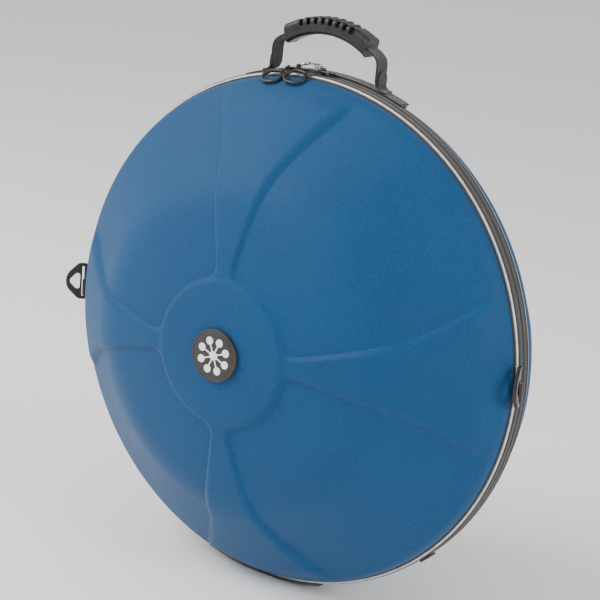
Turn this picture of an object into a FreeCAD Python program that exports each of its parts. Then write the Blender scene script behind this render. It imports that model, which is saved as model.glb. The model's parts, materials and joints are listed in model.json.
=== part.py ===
import FreeCAD
import Part
import Sketcher
import math
import os
from FreeCAD import Placement, Rotation, Vector

doc = FreeCAD.newDocument("handpan_case")

# Driving sizes, in millimetres and degrees. The case stands on its rim, +Z up,
# with its front dome towards -Y. Radii are measured from the axis of the domes.
SIZES = [
    ("ring_z", "305", "height of the axis of the domes above the ground"),
    ("seam_y", "-4", "plane where the two halves meet in the zip"),
    ("half_gap", "0.15", "clearance of each half to the seam plane"),
    ("lid_depth", "12", "seam to front piping"),
    ("back_piping", "12", "seam to back piping"),
    ("back_depth", "17", "seam to the foot of the back dome"),
    ("wall_in", "289.5", "inner radius of the back half's straight wall"),
    ("lining_wall_in", "288", "inner radius of the lining along that wall"),
    ("wall_start", "12.6", "seam to the straight wall's edge"),
    ("wall_w", "5", "width of the straight wall"),
    ("piping_ring_r", "300", "radius of the piping's centre line"),
    ("piping_r", "1.8", "radius of the piping"),
    ("bead_gap", "0.05", "gap between piping and band"),
    ("flange_t", "0.6", "thickness of the piping's sewn flange"),
    ("flange_in", "294.5", "inner radius of the flange"),
    ("shell_r", "297.5", "outer radius of a shell at its rim"),
    ("rim_arc_r", "20", "rounding at the rim"),
    ("rim_lift", "3", "straight part of the rim"),
    ("cone_angle", "39", "slope of the flank"),
    ("shoulder_r", "110", "rounding between flank and cap"),
    ("cap_r", "628", "radius of the flat cap"),
    ("apex_h", "132", "height of the cap over the piping plane"),
    ("shell_t", "8", "thickness of the moulded foam"),
    ("lining_t", "1.5", "thickness of the lining"),
    ("hub_r", "88", "radius of the raised hub"),
    ("hub_h", "5.5", "height of the hub over the cap"),
    ("hub_bevel", "6", "width of the hub's bevel"),
    ("ridge_h", "4", "height of the fan ridges"),
    ("ridge_angle", "22", "angle that a ridge spans"),
    ("ridge_end_r", "268", "radius where a ridge starts to fade"),
    ("ridge_fade", "14", "length of the fade"),
    ("mould_turn", "4", "turn of the moulded pattern about the dome axis"),
    ("badge_r", "30", "radius of the badge"),
    ("badge_t", "5", "thickness of the badge"),
    ("badge_recess", "1", "depth of the badge's seat"),
    ("emblem_t", "0.8", "height of the design on the badge"),
    ("gusset_in", "294", "inner radius of the band"),
    ("gusset_t", "8.8", "thickness of the padded band"),
    ("front_gusset_w", "4.8", "width of the front band"),
    ("back_gusset_w", "4.8", "width of the back band"),
    ("tape_in", "301", "inner radius of the zip tape"),
    ("tape_t", "1.2", "thickness of the zip tape"),
    ("tape_w", "5.5", "width of each zip tape"),
    ("coil_in", "300.4", "inner radius of the coil"),
    ("coil_t", "2.4", "height of the coil"),
    ("coil_w", "1.55", "width of each half of the coil"),
    ("zip_span", "270", "angle that the zip runs, centred on the top"),
    ("hinge_span", "86", "angle of the fabric hinge, centred on the bottom"),
    ("hinge_start", "0.3", "clearance of the hinge fabric to the seam plane"),
    ("hinge_w", "6.9", "width of the hinge panel on the back half"),
    ("hem_w", "7.1", "width of the front band's hem at the hinge"),
    ("stop_angle", "3.4", "angle that a zip end tab covers"),
    ("stop_in", "302.9", "inner radius of a zip end tab"),
    ("stop_t", "3.4", "height of a zip end tab"),
    ("stop_w", "10", "width of a zip end tab"),
    ("foot_start", "2.5", "clearance of the wear strips to the seam plane"),
    ("foot_in", "302.9", "inner radius of the wear strips"),
    ("foot_t", "2.9", "thickness of the wear strips"),
    ("foot_span", "31", "angle that the wear strips cover"),
    ("front_foot_w", "9", "width of the front wear strip"),
    ("back_foot_w", "9", "width of the back wear strip"),
    ("handle_y", "11", "plane of the handle"),
    ("strip_start", "6", "seam plane to the handle's base strip"),
    ("strip_in", "302.9", "inner radius of the handle's base strip"),
    ("strip_t", "2", "thickness of webbing"),
    ("strip_w", "18", "width of the webbing"),
    ("strip_span", "41", "angle that the base strip covers"),
    ("pad_in", "297.6", "inner radius of the padding under the base strip"),
    ("pad_t", "5.8", "thickness of that padding"),
    ("pad_start", "14", "seam plane to that padding"),
    ("pad_w", "6.5", "width of that padding"),
    ("anchor_x", "73.6", "distance of the sewn webbing ends from the centre"),
    ("pivot_h", "308.5", "height where the handle folds, over the dome axis"),
    ("handle_back", "20", "offset of the handle parts' own origin"),
    ("grip_start", "7", "handle origin to the grip's side"),
    ("core_start", "9", "handle origin to the webbing's edge"),
    ("tunnel_start", "8.8", "handle origin to the edge of the grip's tunnel"),
    ("grip_centre", "255", "height of the grip's bend centre over the dome axis"),
    ("grip_in", "91", "inner radius of the grip"),
    ("grip_t", "20.5", "thickness of the grip"),
    ("grip_w", "26", "width of the grip"),
    ("grip_corner", "6", "corner radius of the grip"),
    ("grip_span", "70", "angle that the grip spans"),
    ("grip_top_span", "62", "angle that the grip's top spans"),
    ("core_in", "99.8", "inner radius of the webbing inside the grip"),
    ("core_t", "2.4", "thickness of the webbing inside the grip"),
    ("core_span", "69", "angle of the webbing inside the grip"),
    ("tunnel_in", "99.6", "inner radius of the grip's tunnel"),
    ("tunnel_t", "2.8", "height of the grip's tunnel"),
    ("tunnel_w", "22.4", "width of the grip's tunnel"),
    ("leg_w", "22", "width of the handle's webbing"),
    ("leg_x", "70.9", "distance of the handle's legs from the centre"),
    ("leg_t", "2.2", "thickness of the handle's legs"),
    ("notch_w", "4.6", "width of a slot between two ribs"),
    ("notch_pitch", "5.3", "angle between two slots"),
    ("slider_l", "15", "length of a zip slider"),
    ("slider_w", "9", "width of a zip slider"),
    ("slider_t", "3.4", "height of a slider's plate"),
    ("slider_bottom", "303.6", "radius of a slider's underside"),
    ("left_turn", "6.4", "turn of the left slider from the top"),
    ("right_turn", "1.9", "turn of the right slider from the top"),
    ("pin_r", "1", "radius of the pull ring's pin"),
    ("pin_h", "309.4", "radius of the pin's place"),
    ("eye_gap", "0.05", "running clearance round a pin"),
    ("pin_x", "5", "distance of the pin from the slider's middle"),
    ("lug_t", "1.3", "thickness of a slider's lug"),
    ("wire_r", "1", "radius of the slider's rod"),
    ("link_r", "5.9", "radius of the pull ring"),
    ("link_wire", "1.25", "radius of the pull ring's wire"),
    ("neck_r", "0.85", "radius of the pull ring's neck"),
    ("link_neck", "3.5", "pin to the near side of the pull ring"),
    ("link_tilt", "12", "rest tilt of the pull ring"),
    ("loop_tube", "2.1", "radius of the finger loop's section"),
    ("loop_bend", "11", "bend radius of the finger loop"),
    ("loop_l", "4", "straight length of the finger loop"),
    ("loop_tilt", "30", "slope of the finger loop at rest"),
    ("loop_r", "298.1", "radius of the finger loop's middle from the dome axis"),
    ("loop_y", "-28.7", "plane of the finger loop's middle"),
    ("left_loop_x", "-13.6", "left loop's middle from its slider's middle"),
    ("right_loop_x", "-26", "right loop's middle from its slider's middle"),
    ("cord_r", "0.9", "radius of the pull cord"),
    ("rod_y", "8.2", "distance of the slider's cord rod in front of its middle"),
    ("rod_h", "307.6", "radius of the slider's cord rod from the dome axis"),
    ("wire_eye", "2.3", "radius of the cord's eye round the slider's rod"),
    ("loop_eye", "3.1", "radius of the cord's eye round the finger loop"),
    ("bar_r", "2.25", "radius of the D-ring's bar"),
    ("bar_h", "306", "radius of the D-ring's bar from the dome axis"),
    ("bar_y", "-20", "plane of the D-ring's bar"),
    ("left_ring_angle", "181.6", "place of the left D-ring round the dome axis"),
    ("right_ring_angle", "3.4", "place of the right D-ring round the dome axis"),
    ("d_half", "22.9", "half length of the D-ring"),
    ("d_clear", "19.4", "half length of the D-ring's webbing slot"),
    ("d_slot", "4.75", "bar's axis to the far side of the webbing slot"),
    ("d_far", "24.5", "bar's axis to the D-ring's far edge"),
    ("d_t", "4", "thickness of the D-ring"),
    ("tab_l", "20", "width of a D-ring's webbing tab"),
    ("tab_t", "1.9", "thickness of a D-ring's webbing tab"),
]
sheet = doc.addObject("Spreadsheet::Sheet", "dims")
for row, (alias, value, note) in enumerate(SIZES, start=1):
    sheet.set("A%d" % row, alias)
    sheet.set("B%d" % row, value)
    sheet.setAlias("B%d" % row, alias)
    sheet.set("C%d" % row, note)
doc.recompute()

ALIASES = [entry[0] for entry in SIZES]
NODES = []
UP = Vector(0, 0, 1)
CASE_AXIS = Vector(0, -1, 0)


def size(alias):
    return float(sheet.get(alias))


def new_body(name, base, turn=None):
    """A body whose origin is bound to the three expressions in base."""
    body = doc.addObject("PartDesign::Body", name)
    body.Label = name
    body.Placement = Placement(Vector(0, 0, 0), turn or Rotation())
    for axis, text in zip("xyz", base):
        if text:
            body.setExpression("Placement.Base." + axis, text)
    NODES.append(body)
    return body


def front_body(name):
    """A body on the dome axis at the seam, its local +Y towards the front."""
    return new_body(name, ("", "dims.seam_y", "dims.ring_z"), Rotation(UP, 180))


def back_body(name):
    """A body on the dome axis at the seam, its local +Y towards the back."""
    return new_body(name, ("", "dims.seam_y", "dims.ring_z"))


def origin_plane(body, role):
    return [item for item in body.Origin.OriginFeatures if item.Role == role][0]


def new_sketch(body, name, angle=0.0, role="XY_Plane"):
    """A sketch in a plane through the body's Y axis, turned by angle about it."""
    sketch = body.newObject("Sketcher::SketchObject", name)
    sketch.AttachmentSupport = [(origin_plane(body, role), "")]
    sketch.MapMode = "FlatFace"
    sketch.AttachmentOffset = Placement(Vector(0, 0, 0), Rotation(CASE_AXIS, angle))
    return sketch


def bind(sketch, name, text, kind, *args):
    """Add a constraint and bind its value to an expression."""
    index = sketch.addConstraint(Sketcher.Constraint(kind, *args))
    sketch.renameConstraint(index, name)
    sketch.setExpression("Constraints." + name, text)


def add_loop(sketch, geometry):
    """Add curves that follow one another and join their ends."""
    for item in geometry:
        sketch.addGeometry(item)


def join(sketch, pairs, kind="Coincident"):
    for first, second in pairs:
        sketch.addConstraint(Sketcher.Constraint(kind, first, 2, second, 1))


def box_lines(x0, x1, y0, y1):
    points = [Vector(x0, y0, 0), Vector(x1, y0, 0), Vector(x1, y1, 0), Vector(x0, y1, 0)]
    return [Part.LineSegment(points[i], points[(i + 1) % 4]) for i in range(4)]


def ring_sketch(body, name, radius, thick, start, width, angle=0.0):
    """Rectangle from aliases; start may be an expression instead."""
    sketch = new_sketch(body, name, angle)
    x0 = size(radius)
    y0 = size(start) if start in ALIASES else 1.0
    add_loop(sketch, box_lines(x0, x0 + size(thick), y0, y0 + size(width)))
    join(sketch, [(0, 1), (1, 2), (2, 3), (3, 0)])
    for line in (0, 2):
        sketch.addConstraint(Sketcher.Constraint("Horizontal", line))
    for line in (1, 3):
        sketch.addConstraint(Sketcher.Constraint("Vertical", line))
    bind(sketch, "radius", "dims." + radius, "DistanceX", -1, 1, 0, 1, x0)
    bind(sketch, "thick", "dims." + thick, "DistanceX", 0, 1, 0, 2, size(thick))
    text = "dims." + start if start in ALIASES else start
    bind(sketch, "start", text, "DistanceY", -1, 1, 0, 1, y0)
    bind(sketch, "width", "dims." + width, "DistanceY", 1, 1, 1, 2, size(width))
    return sketch


def disc_sketch(body, name, radius, start, height):
    """Rectangle with one side on the dome axis, for discs and their seats."""
    sketch = new_sketch(body, name)
    add_loop(sketch, box_lines(0, 20, 1, 2))
    join(sketch, [(0, 1), (1, 2), (2, 3), (3, 0)])
    for line in (0, 2):
        sketch.addConstraint(Sketcher.Constraint("Horizontal", line))
    sketch.addConstraint(Sketcher.Constraint("Vertical", 1))
    sketch.addConstraint(Sketcher.Constraint("PointOnObject", 0, 1, -2))
    sketch.addConstraint(Sketcher.Constraint("PointOnObject", 3, 1, -2))
    bind(sketch, "radius", radius, "DistanceX", 0, 1, 0, 2, 20)
    bind(sketch, "start", start, "DistanceY", -1, 1, 0, 1, 1)
    bind(sketch, "height", height, "DistanceY", 1, 1, 1, 2, 1)
    return sketch


def revolve(body, sketch, name, angle="", cut=False):
    """Turn a sketch about the body's Y axis, all round or over a centred angle."""
    kind = "PartDesign::Groove" if cut else "PartDesign::Revolution"
    feature = body.newObject(kind, name)
    feature.Profile = sketch
    feature.ReferenceAxis = (sketch, ["V_Axis"])
    feature.Angle = 360
    if angle:
        feature.Angle = size(angle)
        feature.Midplane = True
        feature.setExpression("Angle", "dims." + angle)
    body.Tip = feature
    return feature


def arc(centre, radius, start, end):
    circle = Part.Circle(Vector(centre[0], centre[1], 0), UP, radius)
    return Part.ArcOfCircle(circle, start, end)


def dome_numbers(depth, offset):
    """Centres and tangent points of a dome's outline, moved inwards by offset."""
    cone = math.radians(size("cone_angle"))
    normal = (math.sin(cone), math.cos(cone))
    along = (-math.cos(cone), math.sin(cone))
    rim = size("rim_arc_r")
    shoulder = size("shoulder_r")
    cap = size("cap_r")
    rim_centre = (size("shell_r") - rim, depth + size("rim_lift"))
    cap_centre = (0.0, depth + size("apex_h") - cap)
    px = rim_centre[0] + (rim - shoulder) * normal[0]
    py = rim_centre[1] + (rim - shoulder) * normal[1]
    dx = px - cap_centre[0]
    dy = py - cap_centre[1]
    b = dx * along[0] + dy * along[1]
    c = dx * dx + dy * dy - (cap - shoulder) ** 2
    u = -b + math.sqrt(b * b - c)
    shoulder_centre = (px + u * along[0], py + u * along[1])
    turn = math.atan2(shoulder_centre[1] - cap_centre[1], shoulder_centre[0])
    flank_low = Vector(
        rim_centre[0] + (rim - offset) * normal[0], rim_centre[1] + (rim - offset) * normal[1], 0
    )
    flank_high = Vector(flank_low.x + u * along[0], flank_low.y + u * along[1], 0)
    return cone, rim_centre, shoulder_centre, cap_centre, turn, flank_low, flank_high


def dome_outline(body, name, depth_name, offset, text):
    """A filled half section of a dome: rim, flank, shoulder and cap."""
    depth = size(depth_name) + size("flange_t")
    cone, rim_c, shoulder_c, cap_c, turn, low, high = dome_numbers(depth, offset)
    edge = size("shell_r") - offset
    top = depth + size("apex_h") - offset
    sketch = new_sketch(body, name)
    foot = Vector(edge, depth, 0)
    add_loop(
        sketch,
        [
            Part.LineSegment(foot, Vector(edge, depth + size("rim_lift"), 0)),
            arc(rim_c, size("rim_arc_r") - offset, 0, math.pi / 2 - cone),
            Part.LineSegment(low, high),
            arc(shoulder_c, size("shoulder_r") - offset, math.pi / 2 - cone, turn),
            arc(cap_c, size("cap_r") - offset, turn, math.pi / 2),
            Part.LineSegment(Vector(0, top, 0), Vector(0, depth, 0)),
            Part.LineSegment(Vector(0, depth, 0), foot),
        ],
    )
    join(sketch, [(0, 1), (1, 2), (2, 3), (3, 4)], "Tangent")
    join(sketch, [(4, 5), (5, 6), (6, 0)])
    sketch.addConstraint(Sketcher.Constraint("Vertical", 0))
    sketch.addConstraint(Sketcher.Constraint("Vertical", 5))
    sketch.addConstraint(Sketcher.Constraint("Horizontal", 6))
    sketch.addConstraint(Sketcher.Constraint("PointOnObject", 5, 1, -2))
    sketch.addConstraint(Sketcher.Constraint("PointOnObject", 4, 3, -2))
    base = "dims.%s + dims.flange_t" % depth_name
    bind(sketch, "edge", "dims.shell_r - (%s)" % text, "DistanceX", -1, 1, 0, 1, edge)
    bind(sketch, "base", base, "DistanceY", -1, 1, 0, 1, depth)
    bind(sketch, "lift", "dims.rim_lift", "DistanceY", 0, 1, 0, 2, size("rim_lift"))
    bind(sketch, "top", base + " + dims.apex_h - (%s)" % text, "DistanceY", -1, 1, 5, 1, top)
    dome_radii(sketch, text, offset, 1, 3, 4)
    bind(sketch, "slope", "180 deg - dims.cone_angle * 1 deg", "Angle", 2, math.pi - cone)
    return sketch


def dome_radii(sketch, text, offset, rim, shoulder, cap):
    if rim is not None:
        value = size("rim_arc_r") - offset
        bind(sketch, "rim_round", "dims.rim_arc_r - (%s)" % text, "Radius", rim, value)
    value = size("shoulder_r") - offset
    bind(sketch, "shoulder", "dims.shoulder_r - (%s)" % text, "Radius", shoulder, value)
    value = size("cap_r") - offset
    bind(sketch, "cap", "dims.cap_r - (%s)" % text, "Radius", cap, value)


def ridge_outline(body, name, depth_name):
    """Section of a fan ridge: the cap, shoulder and flank raised, with a fade."""
    depth = size(depth_name) + size("flange_t")
    offset = -size("ridge_h")
    cone, rim_c, shoulder_c, cap_c, turn, low, high = dome_numbers(depth, offset)
    top = depth + size("apex_h") - offset
    end = size("ridge_end_r")
    end_y = high.y - (end - high.x) * math.tan(cone)
    fade = Vector(end + size("ridge_fade"), end_y - size("ridge_fade") - 3, 0)
    sketch = new_sketch(body, name)
    add_loop(
        sketch,
        [
            Part.LineSegment(Vector(end, end_y, 0), high),
            arc(shoulder_c, size("shoulder_r") - offset, math.pi / 2 - cone, turn),
            arc(cap_c, size("cap_r") - offset, turn, math.pi / 2),
            Part.LineSegment(Vector(0, top, 0), Vector(0, depth + 5, 0)),
            Part.LineSegment(Vector(0, depth + 5, 0), fade),
            Part.LineSegment(fade, Vector(end, end_y, 0)),
        ],
    )
    join(sketch, [(0, 1), (1, 2)], "Tangent")
    join(sketch, [(2, 3), (3, 4), (4, 5), (5, 0)])
    sketch.addConstraint(Sketcher.Constraint("Vertical", 3))
    sketch.addConstraint(Sketcher.Constraint("PointOnObject", 3, 1, -2))
    sketch.addConstraint(Sketcher.Constraint("PointOnObject", 2, 3, -2))
    base = "dims.%s + dims.flange_t" % depth_name
    bind(sketch, "top", base + " + dims.apex_h + dims.ridge_h", "DistanceY", -1, 1, 3, 1, top)
    bind(sketch, "low", base + " + 5", "DistanceY", -1, 1, 3, 2, depth + 5)
    dome_radii(sketch, "-dims.ridge_h", offset, None, 1, 2)
    bind(sketch, "slope", "180 deg - dims.cone_angle * 1 deg", "Angle", 0, math.pi - cone)
    bind(sketch, "end", "dims.ridge_end_r", "DistanceX", -1, 1, 0, 1, end)
    bind(sketch, "fade", "dims.ridge_fade", "DistanceX", 4, 2, 5, 2, -size("ridge_fade"))
    bind(sketch, "drop", "dims.ridge_fade + 3", "DistanceY", 5, 1, 5, 2, size("ridge_fade") + 3)
    sketch.AttachmentOffset = Placement(Vector(0, 0, 0), Rotation(CASE_AXIS, -5))
    sketch.setExpression("AttachmentOffset.Rotation.Angle", "-dims.mould_turn")
    return sketch


def hub_outline(body, name, depth_name):
    """Section of the raised hub with its bevelled edge."""
    depth = size(depth_name) + size("flange_t")
    radius = size("cap_r") + size("hub_h")
    centre = depth + size("apex_h") - size("cap_r")
    inner = size("hub_r") - size("hub_bevel")
    start = math.acos(inner / radius)
    rim = Vector(inner, centre + radius * math.sin(start), 0)
    low = Vector(size("hub_r"), rim.y - size("hub_h") - 1.5, 0)
    top = Vector(0, centre + radius, 0)
    root = Vector(0, centre + radius - 20, 0)
    sketch = new_sketch(body, name)
    add_loop(
        sketch,
        [
            Part.LineSegment(low, rim),
            arc((0, centre), radius, start, math.pi / 2),
            Part.LineSegment(top, root),
            Part.LineSegment(root, low),
        ],
    )
    join(sketch, [(0, 1), (1, 2), (2, 3), (3, 0)])
    sketch.addConstraint(Sketcher.Constraint("Vertical", 2))
    sketch.addConstraint(Sketcher.Constraint("PointOnObject", 2, 1, -2))
    sketch.addConstraint(Sketcher.Constraint("PointOnObject", 1, 3, -2))
    bind(sketch, "round", "dims.cap_r + dims.hub_h", "Radius", 1, radius)
    text = "dims.%s + dims.flange_t + dims.apex_h + dims.hub_h" % depth_name
    bind(sketch, "top", text, "DistanceY", -1, 1, 2, 1, top.y)
    bind(sketch, "root", "20", "DistanceY", 2, 2, 2, 1, 20)
    bind(sketch, "inner", "dims.hub_r - dims.hub_bevel", "DistanceX", -1, 1, 0, 2, inner)
    bind(sketch, "outer", "dims.hub_r", "DistanceX", -1, 1, 0, 1, low.x)
    bind(sketch, "drop", "dims.hub_h + 1.5", "DistanceY", 0, 1, 0, 2, size("hub_h") + 1.5)
    return sketch


def make_shell(body, depth_name, seat):
    """Moulded foam half shell with hub and four fan ridges, hollow inside."""
    revolve(body, dome_outline(body, body.Name + "_outside", depth_name, 0.0, "0"), body.Name + "_dome")
    ridge_sketch = ridge_outline(body, body.Name + "_ridge_line", depth_name)
    ridge = revolve(body, ridge_sketch, body.Name + "_ridge", "ridge_angle")
    pattern = body.newObject("PartDesign::PolarPattern", body.Name + "_ridges")
    pattern.Originals = [ridge]
    pattern.Axis = (ridge_sketch, ["V_Axis"])
    pattern.Angle = 360
    pattern.Occurrences = 4
    body.Tip = pattern
    revolve(body, hub_outline(body, body.Name + "_hub_line", depth_name), body.Name + "_hub")
    if seat:
        text = "dims.%s + dims.flange_t + dims.apex_h + dims.hub_h - dims.badge_recess" % depth_name
        cut = disc_sketch(body, body.Name + "_seat_line", "dims.badge_r + 0.1", text, "6")
        revolve(body, cut, body.Name + "_seat", cut=True)
    inside = dome_outline(body, body.Name + "_inside", depth_name, size("shell_t"), "dims.shell_t")
    revolve(body, inside, body.Name + "_hollow", cut=True)


def make_lining(body, depth_name):
    """Thin lining against the inside of a shell."""
    offset = size("shell_t")
    line = dome_outline(body, body.Name + "_outside", depth_name, offset, "dims.shell_t")
    revolve(body, line, body.Name + "_dome")
    offset += size("lining_t")
    text = "dims.shell_t + dims.lining_t"
    line = dome_outline(body, body.Name + "_inside", depth_name, offset, text)
    revolve(body, line, body.Name + "_hollow", cut=True)


def bind_bead(sketch, curve, depth_name, radius_text):
    """Place an arc round the piping's centre line and bind its radius."""
    centre = Vector(size("piping_ring_r"), size(depth_name), 0)
    bind(sketch, "ring", "dims.piping_ring_r", "DistanceX", -1, 1, curve, 3, centre.x)
    bind(sketch, "place", "dims." + depth_name, "DistanceY", -1, 1, curve, 3, centre.y)
    radius = sketch.Geometry[curve].Radius
    bind(sketch, "round", radius_text, "Radius", curve, radius)


def make_piping(body, depth_name):
    """Round bead with the thin flange that is sewn into the seam."""
    depth = size(depth_name)
    radius = size("piping_r")
    flange = size("flange_t")
    inner = size("flange_in")
    ring = size("piping_ring_r")
    slot = math.asin(flange / radius)
    top = Vector(ring - radius * math.cos(slot), depth + flange, 0)
    sketch = new_sketch(body, body.Name + "_line")
    add_loop(
        sketch,
        [
            arc((ring, depth), radius, math.pi, 3 * math.pi - slot),
            Part.LineSegment(top, Vector(inner, top.y, 0)),
            Part.LineSegment(Vector(inner, top.y, 0), Vector(inner, depth, 0)),
            Part.LineSegment(Vector(inner, depth, 0), Vector(ring - radius, depth, 0)),
        ],
    )
    join(sketch, [(0, 1), (1, 2), (2, 3)])
    sketch.addConstraint(Sketcher.Constraint("Coincident", 3, 2, 0, 1))
    sketch.addConstraint(Sketcher.Constraint("Horizontal", 1))
    sketch.addConstraint(Sketcher.Constraint("Vertical", 2))
    sketch.addConstraint(Sketcher.Constraint("Horizontal", 3))
    bind_bead(sketch, 0, depth_name, "dims.piping_r")
    bind(sketch, "inner", "dims.flange_in", "DistanceX", -1, 1, 2, 2, inner)
    bind(sketch, "foot", "dims." + depth_name, "DistanceY", -1, 1, 2, 2, depth)
    bind(sketch, "thick", "dims.flange_t", "DistanceY", 2, 2, 2, 1, flange)
    revolve(body, sketch, body.Name + "_bead")


def make_gusset(body, depth_name, width_name):
    """Padded band between piping and zip, notched along the bead."""
    depth = size(depth_name)
    start = depth - size(width_name)
    inner = size("gusset_in")
    outer = inner + size("gusset_t")
    reach = size("piping_r") + size("bead_gap")
    low = size("piping_ring_r") - reach
    high = size("piping_ring_r") + reach
    floor = depth - reach
    corners = [
        (inner, start),
        (outer, start),
        (outer, depth),
        (high, depth),
        (high, floor),
        (low, floor),
        (low, depth),
        (inner, depth),
    ]
    points = [Vector(x, y, 0) for x, y in corners]
    sketch = new_sketch(body, body.Name + "_line")
    add_loop(sketch, [Part.LineSegment(points[i], points[(i + 1) % 8]) for i in range(8)])
    join(sketch, [(i, (i + 1) % 8) for i in range(8)])
    for line in (0, 2, 4, 6):
        sketch.addConstraint(Sketcher.Constraint("Horizontal", line))
    for line in (1, 3, 5, 7):
        sketch.addConstraint(Sketcher.Constraint("Vertical", line))
    sketch.addConstraint(Sketcher.Constraint("Equal", 3, 5))
    text = "dims.%s - dims.%s" % (depth_name, width_name)
    bind(sketch, "inner", "dims.gusset_in", "DistanceX", -1, 1, 0, 1, inner)
    bind(sketch, "thick", "dims.gusset_t", "DistanceX", 0, 1, 0, 2, outer - inner)
    bind(sketch, "start", text, "DistanceY", -1, 1, 0, 1, start)
    bind(sketch, "seam", "dims." + depth_name, "DistanceY", -1, 1, 1, 2, depth)
    gap = "dims.piping_r + dims.bead_gap"
    bind(sketch, "notch_high", "dims.piping_ring_r + " + gap, "DistanceX", -1, 1, 4, 1, high)
    bind(sketch, "notch_wide", "2 * (%s)" % gap, "DistanceX", 4, 2, 4, 1, high - low)
    bind(sketch, "notch_deep", gap, "DistanceY", 3, 2, 3, 1, reach)
    revolve(body, sketch, body.Name + "_band")


def make_arc_strip(body, radius, thick, start, width, span, angle):
    line = ring_sketch(body, body.Name + "_line", radius, thick, start, width, angle)
    revolve(body, line, body.Name + "_strip", span)


def primitive(body, kind, name, sizes, at=("0", "0", "0"), turn=None):
    """An additive or subtractive PartDesign primitive placed in its body."""
    feature = body.newObject("PartDesign::" + kind, name)
    feature.AttachmentSupport = [(origin_plane(body, "XY_Plane"), "")]
    feature.MapMode = "FlatFace"
    feature.AttachmentOffset = Placement(Vector(0, 0, 0), turn or Rotation())
    for axis, text in zip("xyz", at):
        feature.setExpression("AttachmentOffset.Base." + axis, text)
    for key, text in sizes.items():
        feature.setExpression(key, text)
    body.Tip = feature
    return feature


TO_Y = Rotation(Vector(1, 0, 0), -90)
TO_X = Rotation(Vector(0, 1, 0), 90)

# Shells, linings, piping and band.
for side, maker in (("front", front_body), ("back", back_body)):
    depth = "lid_depth" if side == "front" else "back_depth"
    rim = "lid_depth" if side == "front" else "back_piping"
    make_shell(maker(side + "_shell"), depth, side == "front")
    make_lining(maker(side + "_lining"), depth)
    make_piping(maker(side + "_piping"), rim)
    make_gusset(maker(side + "_gusset"), rim, side + "_gusset_w")
    start = "dims.%s - dims.%s_gusset_w - dims.tape_w" % (depth, side)
    tape = maker(side + "_zip_tape")
    coil = maker(side + "_zip_coil")
    if side == "back":
        start = "dims.half_gap + dims.coil_w"
    make_arc_strip(tape, "tape_in", "tape_t", start, "tape_w", "zip_span", 90)
    make_arc_strip(coil, "coil_in", "coil_t", "half_gap", "coil_w", "zip_span", 90)


# The back half is deeper by a short straight wall.
for part, inner, thick in (("shell", "wall_in", "shell_t"), ("lining", "lining_wall_in", "lining_t")):
    body = doc.getObject("back_" + part)
    line = ring_sketch(body, body.Name + "_wall_line", inner, thick, "wall_start", "wall_w")
    revolve(body, line, body.Name + "_wall")

# Fabric hinge at the bottom, wear strips and the tabs at the zip's ends.
gusset = doc.getObject("front_gusset")
make_arc_strip(gusset, "tape_in", "tape_t", "hinge_start", "hem_w", "hinge_span", 270)
make_arc_strip(back_body("hinge_panel"), "tape_in", "tape_t", "hinge_start", "hinge_w", "hinge_span", 270)
for side, maker in (("front", front_body), ("back", back_body)):
    foot = maker(side + "_foot")
    make_arc_strip(foot, "foot_in", "foot_t", "foot_start", side + "_foot_w", "foot_span", 270)
    sizes = {"Length": "240", "Width": "60", "Height": "20"}
    primitive(foot, "SubtractiveBox", foot.Name + "_flat", sizes, ("-120", "-20", "-dims.ring_z - 20"))
for side, angle in (("left", 226), ("right", 314)):
    stop = back_body("zip_stop_" + side)
    make_arc_strip(stop, "stop_in", "stop_t", "hinge_start", "stop_w", "stop_angle", angle)

# Badge and its raised design: a ring of eight fields round a middle one.
badge = front_body("badge")
text = "dims.lid_depth + dims.flange_t + dims.apex_h + dims.hub_h - dims.badge_recess"
revolve(badge, disc_sketch(badge, "badge_line", "dims.badge_r", text, "dims.badge_t"), "badge_disc")
emblem = front_body("badge_emblem")
face = text + " + dims.badge_t"
thin = {"Radius": "dims.badge_r * 0.17", "Height": "dims.emblem_t"}
primitive(emblem, "AdditiveCylinder", "emblem_middle", thin, ("0", face, "0"), TO_Y)
for number in range(4):
    angle = 22.5 + 45 * number
    turn = Rotation(CASE_AXIS, angle)
    corner = turn.multVec(Vector(-0.52, 0, -0.025))
    at = ("%.6f * dims.badge_r" % corner.x, face, "%.6f * dims.badge_r" % corner.z)
    bar = {"Length": "dims.badge_r * 1.04", "Width": "dims.emblem_t", "Height": "dims.badge_r * 0.05"}
    primitive(emblem, "AdditiveBox", "emblem_bar_%d" % number, bar, at, turn)
for number in range(8):
    angle = math.radians(22.5 + 45 * number)
    x = 0.58 * math.cos(angle)
    z = 0.58 * math.sin(angle)
    at = ("%.6f * dims.badge_r" % x, face, "%.6f * dims.badge_r" % z)
    field = {"Radius": "dims.badge_r * 0.15", "Height": "dims.emblem_t"}
    primitive(emblem, "AdditiveCylinder", "emblem_field_%d" % number, field, at, TO_Y)


# Handle: base strip, sewn ends, webbing and grip.
def handle_body(name):
    return new_body(name, ("", "dims.handle_y - dims.handle_back", "dims.ring_z + dims.grip_centre"))


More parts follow.
